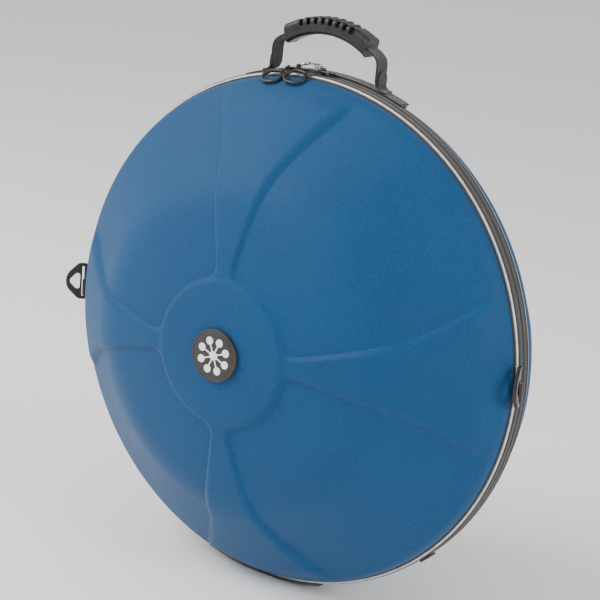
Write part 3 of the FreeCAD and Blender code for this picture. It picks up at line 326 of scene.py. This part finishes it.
def sweep(name, section, start, end, steps, body, slot, replaces=(), shape=None):
    """A closed section of (radius, y) points turned about the dome axis, or over part of a turn."""
    whole = end - start >= 360
    rows = steps if whole else steps + 1
    count = len(section)
    lengths = [0.0]
    for i in range(1, count):
        lengths.append(lengths[-1] + math.dist(section[i], section[i - 1]))
    verts, uvs = [], []
    for i in range(rows):
        at = start + (end - start) * i / steps
        for k, (radius, y) in enumerate(section):
            if shape:
                r, yy = shape(radius, y, at, k)
            else:
                r, yy = radius, y
            verts.append(point(r, at, yy))
            uvs.append((math.radians(at) * 302 * MM, lengths[k] * MM))
    return finish_mesh(name, verts, tube_faces(rows, count, whole), body, slot, uvs, replaces)


def strap(name, path, normals, width, thick, body, slot, replaces=(), wide=Vector((0, 1, 0)), scale=None):
    """A flat strap along a path in millimetres, with firm rolled edges."""
    section = rounded(-width / 2, width / 2, -thick / 2, thick / 2, thick * 0.45, 1.2)
    verts, uvs, length = [], [], 0.0
    for i, (at, normal) in enumerate(zip(path, normals)):
        if i:
            length += (at - path[i - 1]).length
        for k, (across, out) in enumerate(section):
            edge = 0.12 * math.exp(-(((abs(across) - width / 2 + 1.2) / 0.7) ** 2))
            share = scale[i] if scale else 1.0
            offset = wide * (across * share) + normal * (out + math.copysign(edge, out))
            verts.append((at + offset) * MM)
            uvs.append((length * MM, across * MM))
    return finish_mesh(name, verts, tube_faces(len(path), len(section)), body, slot, uvs, replaces)


# A stitch: share of its length, share of its radius and lift of four six-sided rings.
STITCH = ((-0.5, 0.35, -0.3), (-0.3, 1.0, 0.55), (0.3, 1.0, 0.55), (0.5, 0.35, -0.3))


def stitches(name, body, runs, pitch=3.4, length=2.4, radius=0.26):
    """Rows of thread stitches. Each run is a list of (point, outward normal) in millimetres."""
    verts, faces = [], []
    for run in runs:
        total, marks = 0.0, []
        for i in range(1, len(run)):
            a, b = run[i - 1], run[i]
            piece = (b[0] - a[0]).length
            while len(marks) * pitch <= total + piece:
                share = (len(marks) * pitch - total) / max(piece, 1e-9)
                marks.append((a[0].lerp(b[0], share), a[1], (b[0] - a[0]).normalized()))
            total += piece
        for at, out, ahead in marks:
            side = ahead.cross(out)
            base = len(verts)
            for share, size, lift in STITCH:
                for k in range(6):
                    turn = math.pi * k / 3
                    ring = side * math.cos(turn) + out * math.sin(turn)
                    centre = at + ahead * (share * length) + out * (lift * radius)
                    verts.append((centre + ring * (radius * size)) * MM)
            faces += shifted(tube_faces(len(STITCH), 6), base)
    return finish_mesh(name, verts, faces, body, "webbing", material=THREAD)


# Moulded shells --------------------------------------------------------------

SHELL_R = 297.5
SHELL_T = 8.0
FRONT_PIPING, BACK_PIPING = 16.0, 8.0
BACK_WALL = 5.0
BEAD_R, BEAD = 300.3, 1.3
FLANGE_T = 0.6
RIM_ARC, RIM_LIFT, CONE = 20.0, 3.0, math.radians(39)
EDGE_TUCK = 0.8
LINING_T = 1.5
SHOULDER, CAP, APEX = 110.0, 628.0, 132.0
HUB_R, HUB_H = 85.0, 5.5
RIDGE_H, ROOT = 4.0, 18.0


def dome_profile(offset, wall=0.0, tuck=0.0):
    """Rows of (radius, height, normal radius, normal height) from the apex to the rim.

    Each arc has its own centre. The straight wall is added at the rim, and the
    fabric's edge is tucked into the seam by the given depth."""
    across, up = math.sin(CONE), math.cos(CONE)
    rim_c = (SHELL_R - RIM_ARC, RIM_LIFT)
    cap_c = (0.0, APEX - CAP)
    px, py = rim_c[0] + (RIM_ARC - SHOULDER) * across, rim_c[1] + (RIM_ARC - SHOULDER) * up
    dx, dy = px - cap_c[0], py - cap_c[1]
    b = -dx * up + dy * across
    u = -b + math.sqrt(b * b - dx * dx - dy * dy + (CAP - SHOULDER) ** 2)
    shoulder_c = (px - u * up, py + u * across)
    join = math.atan2(shoulder_c[0], shoulder_c[1] - cap_c[1])
    rows = []

    def arc(centre, radius, first, last, count):
        for i in range(count + 1):
            turn = first + (last - first) * i / count
            out = (math.sin(turn), math.cos(turn))
            reach = radius - offset
            rows.append((centre[0] + reach * out[0], centre[1] + reach * out[1], *out))

    arc(cap_c, CAP, 0.0, join, 84)
    arc(shoulder_c, SHOULDER, join, CONE, 22)
    low = (rim_c[0] + (RIM_ARC - offset) * across, rim_c[1] + (RIM_ARC - offset) * up)
    high = rows[-1]
    for i in range(1, 24):
        share = i / 24
        flank = [a + (b - a) * share for a, b in zip(high, low)]
        rows.append((*flank[:2], across, up))
    arc(rim_c, RIM_ARC, CONE, math.pi / 2, 12)
    for lift, share in ((1.9, 0.0), (1.2, 0.12), (0.6, 0.45), (0.0, 1.0)):
        rows.append((SHELL_R - offset - tuck * share, lift - wall, 1.0, 0.0))
    return [row for i, row in enumerate(rows) if not i or math.dist(row[:2], rows[i - 1][:2]) > 0.05]


def smooth(value, low, high):
    share = min(1.0, max(0.0, (value - low) / (high - low)))
    return share * share * (3 - 2 * share)


def crowned(inside, bevel):
    """Share of the full height inside a moulded edge: a crease at its foot, a soft shoulder above."""
    share = min(1.0, max(0.0, inside / bevel))
    return 1 - (1 - share) ** 2.4


def relief(radius, angle, fade, flare, swell, bevel):
    """Height of the moulded hub and fan ridges over the plain dome, in millimetres."""
    nearest = (angle - MOULD_TURN + 45) % 90 - 45
    half = 10.6 + 11.4 * (radius / 300 - 0.6) + flare * smooth(radius, 200, 295)
    ridge = math.radians(half - abs(nearest)) * radius
    hub = HUB_R - radius
    blend = max(0.0, ROOT - abs(ridge - hub)) / ROOT
    inside = max(ridge, hub) + blend * blend * ROOT / 4
    tall = RIDGE_H + swell * smooth(radius, 130, 265)
    height = tall * crowned(inside, 6.0 + bevel * smooth(radius, 95, 270)) * (1 - smooth(radius, *fade))
    return height + (HUB_H - RIDGE_H) * crowned(hub, 9.0)


def uneven(radius, angle, seed, scale):
    """Smooth noise from -1 to 1 over a dome, with bumps of about the given size."""
    turn = math.radians(angle)
    return noise.noise(Vector((radius * math.cos(turn), radius * math.sin(turn), seed)) / scale)


def half_sizes(side):
    """Width of the straight wall and distance of the dome's foot, on the back half (1) or the front (-1)."""
    wall = BACK_WALL if side > 0 else 0.0
    return wall, (BACK_PIPING if side > 0 else FRONT_PIPING) + FLANGE_T + wall


# Fade, flare at the rim, extra height at the rim and softness of the ridges, for the relief.
RIBS = {1: ((286, 297.5), 0.0, 0.0, 26.0), -1: ((270, 296), 3.4, 2.6, 10.0)}


def shell(name, body, side, replaced):
    """One moulded half: fabric skin with its relief, plain inside, closed at the rim."""
    steps = 900
    ribs = RIBS[side]
    wall, base = half_sizes(side)
    outer, inner = dome_profile(0.0, wall, EDGE_TUCK), dome_profile(SHELL_T, wall)

    def place(r, h, at):
        return point(r, at, side * (base + h))

    verts = [place(0.0, outer[0][1] + relief(0.0, 0.0, *ribs), 0.0)]
    for r, h, nr, nh in outer[1:]:
        for i in range(steps):
            at = 360.0 * i / steps
            ripple = 0.18 * uneven(r, at, side, 34)
            ripple *= smooth(r, 20, 60) * (1 - smooth(r, 285, 297))
            up = relief(r, at, *ribs) + ripple
            verts.append(place(r + nr * up, h + nh * up, at))
    for r, h, _, _ in reversed(inner[1:]):
        for i in range(steps):
            verts.append(place(r, h, 360.0 * i / steps))
    verts.append(place(0.0, inner[0][1], 0.0))
    faces = dome_faces(len(outer) + len(inner) - 2, steps)
    return finish_mesh(name, verts, faces, body, "shell_fabric", None, replaced)


shell("front_moulded_shell", "lid", -1, ["front_shell"])
shell("back_moulded_shell", "back", 1, ["back_shell"])


def lining(name, body, side, replaced):
    """Brushed lining inside a shell, slightly quilted by its glue lines."""
    steps = 240
    wall, base = half_sizes(side)
    outer, inner = dome_profile(SHELL_T + 0.02, wall), dome_profile(SHELL_T + LINING_T, wall)
    rings = [(row, 0.0) for row in outer[1:]] + [(row, 0.35) for row in reversed(inner[1:])]
    verts = [point(0, 0, side * (base + outer[0][1]))]
    for (r, h, nr, nh), depth in rings:
        for i in range(steps):
            at = 360.0 * i / steps
            up = depth * uneven(r, at, 7, 12)
            verts.append(point(r + nr * up, at, side * (base + h + nh * up)))
    verts.append(point(0, 0, side * (base + inner[0][1])))
    return finish_mesh(name, verts, dome_faces(len(rings), steps), body, "lining", None, replaced)


lining("front_brushed_lining", "lid", -1, ["front_lining"])
lining("back_brushed_lining", "back", 1, ["back_lining"])

# Piping, bands, zip ----------------------------------------------------------


def piping(name, body, side, replaced):
    """Cord in reflective tape, with the tape's flange sewn between shell and band."""
    section = []
    y = BACK_PIPING if side > 0 else -FRONT_PIPING
    for i in range(24):
        turn = math.radians(200 + i * 320 / 23)
        section.append((BEAD_R + BEAD * math.cos(turn), y + side * BEAD * math.sin(turn)))
    far, near = y + side * FLANGE_T, y + side * 0.05
    section += [(298.6, far), (294.6, far), (294.6, near), (298.6, near)]

    def shape(r, yy, at, k):
        pucker = 0.05 * math.sin(math.radians(at) * 420) * (1 if 6 < k < 20 else 0)
        return r + pucker, yy

    return sweep(name, section, 0, 360, 1260, body, "piping", replaced, shape)


piping("front_reflective_piping", "lid", -1, ["front_piping"])
piping("back_reflective_piping", "back", 1, ["back_piping"])


def band(name, body, y0, y1, replaced):
    """Padded fabric band, a little crowned between its seams."""
    inside, outside = 294.0, 302.8
    section = rounded(inside, outside, y0, y1, 1.5, 1.1)
    middle, half = (y0 + y1) / 2, (y1 - y0) / 2

    def shape(r, y, at, k):
        crown = 0.32 * (1 - min(1.0, abs(y - middle) / half) ** 3) * smooth(r, inside, outside)
        seam = 0.10 * math.sin(math.radians(at) * 260 + y) * smooth(abs(y - middle) / half, 0.5, 1.0)
        return r + (crown - 0.28 + seam) * smooth(r, inside + 2, outside), y

    return sweep(name, section, 0, 360, 720, body, "band_fabric", replaced, shape)


# Dark strip between each shell and its piping: painted shade standing for the shadow in the seam.
for edge, body, y0, y1 in (("front", "lid", -18.5, -16.6), ("back", "back", 8.6, 10.5)):
    sweep(edge + "_painted_seam_shade", rounded(296.4, 299.3, y0, y1, 0.8), 0, 360, 720, body, "band_fabric")
band("front_band", "lid", -14.6, -11.3, ["front_gusset"])
band("back_band", "back", 3.3, 6.6, ["back_gusset"])

ZIP_START, ZIP_END = 90 - 135, 90 + 135


def tape(name, body, y0, y1, replaced):
    section = rounded(301.0, 302.2, min(y0, y1), max(y0, y1), 0.4, 0.9)
    return sweep(name, section, ZIP_START, ZIP_END, 540, body, "zip_tape", replaced)


tape("front_zip_woven_tape", "lid", -5.75, -11.15, ["front_zip_tape"])
tape("back_zip_woven_tape", "back", -2.25, 3.15, ["back_zip_tape"])


def coil(name, body, sign, phase, replaced):
    """The turns of a zip coil: one small rounded loop per tooth, from the tape to the seam plane."""
    verts, faces = [], []
    pitch, ring, wire, middle = 2.2, 6, 0.36, 301.7
    line = [(300.76, 2.4), (300.76, 0.75), (301.15, 0.42), (302.05, 0.42), (302.42, 0.75), (302.42, 2.4)]
    count = int(math.radians(ZIP_END - ZIP_START) * middle / pitch)
    for tooth in range(count):
        at = ZIP_START + (tooth + 0.5 + phase) * (ZIP_END - ZIP_START) / count
        if not ZIP_START + 0.3 < at < ZIP_END - 0.3:
            continue
        base = len(verts)
        for j, (radius, back) in enumerate(line):
            before, after = line[max(j - 1, 0)], line[min(j + 1, len(line) - 1)]
            ahead = Vector((after[0] - before[0], after[1] - before[1])).normalized()
            across = Vector((-ahead.y, ahead.x))
            for k in range(ring):
                turn = 2 * math.pi * k / ring
                r = radius + wire * math.cos(turn) * across.x
                d = back + wire * math.cos(turn) * across.y
                skew = at + math.degrees((0.55 * math.sin(turn) + 0.35 * (j - 2.5) / 2.5) / middle)
                verts.append(point(r, skew, SEAM_Y + sign * max(0.06, d)))
        faces += shifted(tube_faces(len(line), ring), base)
    return finish_mesh(name, verts, faces, body, "zip_coil", None, replaced)


coil("front_coil_teeth", "lid", -1, 0.0, ["front_zip_coil"])
coil("back_coil_teeth", "back", 1, 0.5, ["back_zip_coil"])


def ring_run(radius, y, start, end, step=0.6):
    count = max(2, int((end - start) / step))
    run = []
    for i in range(count + 1):
        at = start + (end - start) * i / count
        turn = math.radians(at)
        run.append((point(radius, at, y) / MM, Vector((math.cos(turn), 0, math.sin(turn)))))
    return run


for edge, body, tape_y, band_y in (("front", "lid", -10.4, -12.6), ("back", "back", 2.4, 4.6)):
    tape_run = ring_run(302.35, tape_y, ZIP_START + 1, ZIP_END - 1)
    stitches(edge + "_band_stitching", body, [tape_run, ring_run(302.80, band_y, 0, 360)])

# The fabric hinge under the case, between the two halves.
HINGE = (227.2, 312.8)


def hinge_fabric():
    columns, rows = 120, 22
    verts, uvs = [], []
    for skin, radius in enumerate((302.15, 301.05)):
        for i in range(columns + 1):
            at = HINGE[0] + (HINGE[1] - HINGE[0]) * i / columns
            for j in range(rows + 1):
                y = 3.1 - 14.2 * j / rows
                dip = 0.12 * math.cos(math.pi * (y + 4) / 7) * (1 - skin)
                verts.append(point(radius - dip, at, y))
                uvs.append((math.radians(at) * 302 * MM, y * MM))
    half = (columns + 1) * (rows + 1)
    faces = []
    for i in range(columns):
        for j in range(rows):
            a = i * (rows + 1) + j
            quad = (a, a + rows + 1, a + rows + 2, a + 1)
            faces.append(quad)
            faces.append(tuple(half + v for v in reversed(quad)))
    edge = [i * (rows + 1) for i in range(columns + 1)]
    edge += [columns * (rows + 1) + j for j in range(1, rows + 1)]
    edge += [i * (rows + 1) + rows for i in range(columns - 1, -1, -1)]
    edge += [j for j in range(rows - 1, 0, -1)]
    for i, a in enumerate(edge):
        b = edge[(i + 1) % len(edge)]
        faces.append((a, b, half + b, half + a))
    piece = finish_mesh("hinge_fabric", verts, faces, None, "band_fabric", uvs, ["hinge_panel"])
    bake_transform(piece)
    return piece


hinge_fabric()

# Handle, its base and the tabs -----------------------------------------------

HANDLE_Y = 11.0
PIVOT_Z = RING_Z + 308.5
GRIP_Z = RING_Z + 255.0


def eased(points, times=3):
    """Corners of an open polyline cut smooth, its ends kept."""
    for _ in range(times):
        cut = [points[0]]
        for a, b in zip(points, points[1:]):
            cut += [a.lerp(b, 0.25), a.lerp(b, 0.75)]
        points = cut + [points[-1]]
    return points


def path_normals(points, wide=Vector((0, 1, 0))):
    normals = []
    for i in range(len(points)):
        ahead = (points[min(i + 1, len(points) - 1)] - points[max(i - 1, 0)]).normalized()
        normals.append(ahead.cross(wide).normalized())
    return normals


def xz(x, z, y=HANDLE_Y):
    return Vector((x, y, z))


def tip_scale(points, radius, both=True):
    """Rounds a strap's end: width shares along the path near its first point, and its last."""
    lengths = [0.0]
    for a, b in zip(points, points[1:]):
        lengths.append(lengths[-1] + (b - a).length)
    shares = []
    for length in lengths:
        gap = min(length, lengths[-1] - length) if both else length
        shares.append(1.0 if gap >= radius else max(0.12, math.sqrt(1 - (1 - gap / radius) ** 2)))
    return shares


BOW_R, LEG_X = 101.0, 70.9
bow = []
for degrees in range(-33, 34, 3):
    turn = math.radians(degrees)
    bow.append(xz(BOW_R * math.sin(turn), GRIP_Z + BOW_R * math.cos(turn)))
leg = [xz(LEG_X, PIVOT_Z + z) for z in (-11, -10.6, -9.8, -8.4, -6.5, -4, 0, 5, 10, 15.5)]
leg += [xz(LEG_X - 1.7, PIVOT_Z + 21.5), xz(LEG_X - 7.4, PIVOT_Z + 26.8)]
mirror = [xz(-p.x, p.z) for p in leg]
webbing_path = eased(mirror + bow + leg[::-1], 2)
strap("handle_strap", webbing_path, path_normals(webbing_path), 22, 2.1, "handle", "webbing",
      ["handle_webbing"], scale=tip_scale(webbing_path, 11.0))


GRIP_R = 91.0


def grip_point(turn, across, up):
    r = GRIP_R + up
    return Vector((r * math.sin(turn), HANDLE_Y + across, GRIP_Z + r * math.cos(turn))) * MM


def grip():
    """Moulded grip: a bent bar with ribs over its top, pockets between them and a collar at each end."""
    section = rounded(-13, 13, 0, 20.5, 6, 0.8)
    steps, half = 300, 35.0
    pitch, pocket = 5.3, 4.6

    def slanted(at, up):
        return at * (1 - 0.114 * up / 20.5 * smooth(abs(at), 22.0, half))

    verts, uvs = [], []
    count = len(section)
    for i in range(steps + 1):
        at = -half + 2 * half * i / steps
        place = at / pitch
        near = abs(place - (math.floor(place) + 0.5)) * pitch
        in_row = smooth(4.05 * pitch - abs(at), 0.0, 0.35 * pitch)
        gap = math.radians(near) * 108
        slot = smooth(pocket / 2 + 0.5 - gap, 0.0, 1.0) * in_row
        scallop = 0.5 + 0.5 * math.cos(2 * math.pi * near / pitch)
        end = smooth(abs(at), half - 2.3, half - 1.9)
        for across, up in section:
            side = abs(across) / 13
            high = smooth(up, 11.0, 14.0)
            flank = smooth(side, 0.55, 0.8) * smooth(20.6 - up, 0.0, 1.2)
            deep = 5.2 * slot * high * flank
            crest = 1.5 * scallop * in_row * smooth(up, 15.0, 19.0)
            waist = 0.45 * (1 - end) * (1 - in_row * smooth(up, 10, 13))
            inward = math.copysign(deep + waist * side, across)
            sunk = crest + 0.48 * deep * smooth(up, 16, 20) + waist * (0.5 if up > 10 else -0.5)
            turn = math.radians(slanted(at, up))
            verts.append(grip_point(turn, across - inward, up - sunk))
            uvs.append((turn * BOW_R * MM, (across + up) * MM))
    faces = tube_faces(steps + 1, count, caps=False)
    mouth = rounded(-11.25, 11.25, 8.6, 11.4, 1.2, 1.0)
    size = len(mouth)
    for row, end in ((0, -half), (steps, half)):
        base = len(verts)
        for inward in (1.0, 0.96):
            for across, up in mouth:
                verts.append(grip_point(math.radians(slanted(end, up) * inward), across, up))
                uvs.append((0.0, 0.0))
        ring = [row * count + k for k in range(count)]
        faces += zipper(ring, [base + k for k in range(size)], verts)
        for k in range(size):
            m = (k + 1) % size
            faces.append((base + k, base + m, base + size + m, base + size + k))
        faces.append(tuple(base + size + k for k in range(size)))
    return finish_mesh("moulded_grip", verts, faces, "handle", "grip_rubber", uvs, ["handle_grip"], 50)


def zipper(outer, inner, verts):
    """Triangles between two closed rings of vertices, matched by the share of their way round."""
    faces, i, j = [], 0, 0
    first = min(range(len(inner)), key=lambda k: (verts[inner[k]] - verts[outer[0]]).length)
    inner = inner[first:] + inner[:first]
    while i < len(outer) or j < len(inner):
        a, b = outer[i % len(outer)], inner[j % len(inner)]
        if j >= len(inner) or (i < len(outer) and (i + 1) / len(outer) <= (j + 1) / len(inner)):
            faces.append((a, outer[(i + 1) % len(outer)], b))
            i += 1
        else:
            faces.append((a, inner[(j + 1) % len(inner)], b))
            j += 1
    return faces


grip()


def arc_path(radius, start, end, y, step=1.0):
    count = max(2, int(abs(end - start) / step))
    return [point(radius, start + (end - start) * i / count, y) / MM for i in range(count + 1)]


base_path = arc_path(303.95, 90 + 20.5, 90 - 20.5, HANDLE_Y, 0.5)
strap("handle_base_strap", base_path, path_normals(base_path), 18, 1.9, "back", "webbing", ["handle_base"])
padding = rounded(297.6, 302.95, 10.0, 16.5, 1.2)
sweep("handle_base_padding", padding, 69.5, 110.5, 120, "back", "band_fabric")
ANCHOR_X = 73.6
RISE = (299.5, 302.0, 304.5, 308.0, 311.5, 313.5, 315.1, 316.3, 317.1, 317.5)
for side, sign in (("left", -1), ("right", 1)):
    lean = math.asin(ANCHOR_X / 302.9) * sign
    along = Vector((math.cos(lean), 0, -math.sin(lean)))
    out = Vector((math.sin(lean), 0, math.cos(lean)))
    foot = Vector((0, HANDLE_Y, RING_Z)) + out * 305.95
    foot_run = [foot + along * (sign * t) for t in (9.0, 6.0, 3.0)]
    rise = [xz(sign * ANCHOR_X, RING_Z + z) for z in RISE]
    path = eased(foot_run + rise, 2)
    shares = tip_scale(path[::-1], 9.0, False)[::-1]
    strap("handle_sewn_end_" + side, path, path_normals(path), 18, 1.7, "back", "webbing",
          ["handle_anchor_" + side], scale=shares)
# Seams on the base strip: two long rows and a cross at each end, as (degrees from the top, offset) pairs.
box_stitch = []
for sign in (-1, 1):
    for start, end, count in (((7.5, 7.6), (19.8, 7.6), 24), ((7.5, -7.6), (19.8, -7.6), 24),
                              ((17.6, 7.0), (19.8, -7.0), 8), ((19.8, 7.0), (17.6, -7.0), 8)):
        run = []
        for i in range(count):
            off_top, offset = [a + (b - a) * i / (count - 1) for a, b in zip(start, end)]
            turn = math.radians(90 - sign * off_top)
            out = Vector((math.cos(turn), 0, math.sin(turn)))
            run.append((point(304.95, 90 - sign * off_top, HANDLE_Y + offset) / MM, out))
        box_stitch.append(run)
stitches("handle_base_stitching", "back", box_stitch, 2.8, 2.0, 0.24)

for side, centre in (("left", 226), ("right", 314)):
    path = arc_path(304.4, centre - 1.7, centre + 1.7, 1.3, 0.25)
    normals = path_normals(path)
    strap("zip_end_tab_" + side, path, normals, 9.8, 2.6, "back", "band_fabric", ["zip_stop_" + side])

# D-ring tabs: a loop of webbing round the bar, its two layers sewn down on the band.
BAR_H, BAR_Y, TAB_W, LOOP_R = 306.0, -20.0, 20.0, 3.3
for side, around in (("left", 181.6), ("right", 3.4)):
    turn = math.radians(around)
    out = Vector((math.cos(turn), 0, math.sin(turn)))
    down = Vector((math.sin(turn), 0, -math.cos(turn))) * (1 if side == "right" else -1)
    centre = Vector((0, BAR_Y, RING_Z)) + out * BAR_H + down * 8.0
    rear = Vector((0, 1, 0))
    loop = [(-2.3, 8.4), (-2.3, 5.0), (-2.4, 2.9)]
    for degrees in range(150, 421, 10):
        bend = math.radians(degrees)
        loop.append((LOOP_R * math.cos(bend), LOOP_R * math.sin(bend)))
    loop += [(0.1, 4.0), (-0.75, 5.3), (-1.0, 8.2)]
    path = [centre + out * x + rear * y for x, y in loop]
    strap("d_ring_webbing_" + side, path, path_normals(path, down), TAB_W - 0.3, 1.2, "lid", "webbing",
          ["d_tab_" + side], wide=down)

# Badge -----------------------------------------------------------------------

BADGE_Y = -(FRONT_PIPING + FLANGE_T + APEX + HUB_H - 1.0)


def badge():
    """Rubber disc with a soft edge and a groove round its field."""
    field = [(0.0, 5.0), (12.0, 5.0), (24.0, 5.0), (26.2, 4.95)]
    groove = [(26.9, 4.55), (27.5, 4.5), (28.0, 4.75), (28.5, 4.98), (29.0, 5.0)]
    edge = [(29.5, 4.85), (29.85, 4.5), (30.0, 4.0), (30.0, 2.2), (29.8, 0.6), (29.4, 0.05)]
    profile = field + groove + edge
    steps = 180
    verts = [point(0, 0, BADGE_Y - profile[0][1])]
    for r, up in profile[1:]:
        verts += [point(r, 360 * i / steps, BADGE_Y - up) for i in range(steps)]
    verts.append(point(0, 0, BADGE_Y - 0.05))
    faces = dome_faces(len(profile) - 1, steps)
    return finish_mesh("rubber_badge", verts, faces, "lid", "badge_rubber", None, ["badge"])


badge()

# Pull cords ------------------------------------------------------------------


def slider_point(side, x, y, radius):
    """World point, in millimetres, from a place along a slider's run, off the seam and off the dome axis."""
    turn = math.radians(6.4 if side == "left" else -1.9)
    c, s = math.cos(turn), math.sin(turn)
    return Vector((x * c - radius * s, SEAM_Y + y, RING_Z + x * s + radius * c))


def tube_mesh(name, path, radius, body, slot, replaces, twist=0.16):
    """Closed loop of cord with a laid, rope-like surface."""
    sides, verts, uvs, length = 12, [], [], 0.0
    count = len(path)
    normal = (path[1] - path[0]).orthogonal().normalized()
    for i in range(count):
        ahead = (path[(i + 1) % count] - path[i - 1]).normalized()
        normal = (normal - ahead * normal.dot(ahead)).normalized()
        side = ahead.cross(normal)
        if i:
            length += (path[i] - path[i - 1]).length
        for k in range(sides):
            turn = 2 * math.pi * k / sides
            lay = 1 + twist * abs(math.sin(1.5 * turn + length * 1.6)) - twist * 0.6
            out = normal * math.cos(turn) + side * math.sin(turn)
            verts.append((path[i] + out * radius * lay) * MM)
            uvs.append((length * MM, turn * radius * MM))
    return finish_mesh(name, verts, tube_faces(count, sides, True), body, slot, uvs, replaces)


def pull_cord(side, loop_x):
    """A thin cord loop that goes round the slider's rod and round the finger loop."""
    rod = slider_point(side, -3, -8.2, 307.6)
    along = (slider_point(side, 1, 0, 300) - slider_point(side, 0, 0, 300)).normalized()
    out = (slider_point(side, 0, 0, 301) - slider_point(side, 0, 0, 300)).normalized()
    front = Vector((0, -1, 0))
    tilt = math.radians(30)
    middle = slider_point(side, loop_x, -28.7 + 4.0, 298.1)
    rise = Vector((0, 1, 0)) * math.cos(tilt) + out * math.sin(tilt)
    corner = 11 * math.sqrt(0.5)
    knot = middle + along * (2 + corner) + rise * corner
    tangent = (along * -1 + rise).normalized()
    plane_normal = along.cross(rise).normalized()
    away = tangent.cross(plane_normal).normalized()
    if (rod - knot).dot(away) < 0:
        away = -away
    strand, path = 0.55, []
    hug = 1.0 + 0.35 + 2 * strand
    grip_r = 2.1 + 0.1 + 2 * strand
    run = (knot - rod).normalized()
    rod_away = (run - along * run.dot(along)).normalized()
    rod_side = along.cross(rod_away)
    near_side = tangent.cross(away)
    for i in range(17):
        turn = math.radians(90 + 180 * i / 16)
        path.append(rod + (rod_away * math.cos(turn) + rod_side * math.sin(turn)) * (hug - strand))
    for i in range(17):
        turn = math.radians(-90 + 180 * i / 16) + math.pi
        path.append(knot + (away * math.cos(turn) + near_side * math.sin(-turn)) * (grip_r - strand))
    first, second = path[:17], path[17:]
    if (first[-1] - second[0]).length > (first[-1] - second[-1]).length:
        second = second[::-1]
    closed = []
    for a, b in ((first, second), (second, first)):
        closed += a
        gap = (b[0] - a[-1]).length
        closed += [a[-1].lerp(b[0], k / 10) for k in range(1, 10)] if gap > 1 else []
    body, replaced = "finger_loop_" + side, ["pull_cord_" + side]
    return tube_mesh("cord_" + side, closed, strand * 1.25, body, "cord", replaced)


pull_cord("left", -13.6)
pull_cord("right", -26.0)

# Floor, light, camera --------------------------------------------------------


def plain(name, colour, roughness):
    n = Nodes(name)
    where = n.add("ShaderNodeTexCoord").outputs["Object"]
    cloud = n.add("ShaderNodeTexNoise", {"Vector": where, "Scale": 3.0, "Detail": 3.0}).outputs[0]
    lighter = tuple(min(1.0, c * 1.01) for c in colour)
    n.set(Base_Color=n.colour(cloud, colour, lighter), Roughness=roughness)
    n.shader.inputs["Specular IOR Level"].default_value = 0.1
    return n.material


FLOOR_REACH = 14.0
corners = [(x * FLOOR_REACH, y * FLOOR_REACH, 0) for x, y in ((-1, -1), (1, -1), (1, 1), (-1, 1))]
floor_mesh = bpy.data.meshes.new("floor")
floor_mesh.from_pydata(corners, [], [(0, 1, 2, 3)])
floor = bpy.data.objects.new("floor", floor_mesh)
bpy.context.scene.collection.objects.link(floor)
floor.location = (0, 0, -0.0002)
floor_mesh.materials.append(plain("floor", (0.93, 0.93, 0.93), 0.9))

world = bpy.data.worlds.new("studio")
bpy.context.scene.world = world
world.use_nodes = True
sky = world.node_tree.nodes["Background"]
sky.inputs["Color"].default_value = (1.0, 1.0, 1.0, 1.0)
sky.inputs["Strength"].default_value = 0.85


def area_light(name, place, aim, power, size):
    data = bpy.data.lights.new(name, "AREA")
    data.energy = power
    data.shape = "DISK"
    data.size = size
    lamp = bpy.data.objects.new(name, data)
    bpy.context.scene.collection.objects.link(lamp)
    lamp.location = place
    lamp.rotation_euler = (Vector(aim) - Vector(place)).to_track_quat("-Z", "Y").to_euler()


area_light("key", (-1.9, -1.7, 2.4), (0, -0.1, 0.35), 120.0, 2.4)
area_light("fill", (2.8, -0.5, 1.4), (0, 0, 0.3), 46.0, 1.4)

AZIMUTH, ELEVATION, ROLL = math.radians(33.0), math.radians(15.44), math.radians(5.99)
DISTANCE, LENS, SENSOR = 2.1, 108.1, 36.0
aim = Vector((0.0026, 0.0, RING_Z * MM + 0.0376))
level = math.cos(ELEVATION)
back = Vector((math.sin(AZIMUTH) * level, -math.cos(AZIMUTH) * level, math.sin(ELEVATION)))
right = (-back).cross(Vector((0, 0, 1))).normalized()
up = right.cross(-back).normalized()
turned_right = right * math.cos(ROLL) + up * math.sin(ROLL)
turned_up = up * math.cos(ROLL) - right * math.sin(ROLL)
camera_data = bpy.data.cameras.new("camera")
camera_data.sensor_width = SENSOR
camera_data.lens = LENS
camera = bpy.data.objects.new("camera", camera_data)
bpy.context.scene.collection.objects.link(camera)
axes = Matrix((turned_right, turned_up, back)).transposed().to_4x4()
camera.matrix_world = Matrix.Translation(aim + back * DISTANCE) @ axes
bpy.context.scene.camera = camera
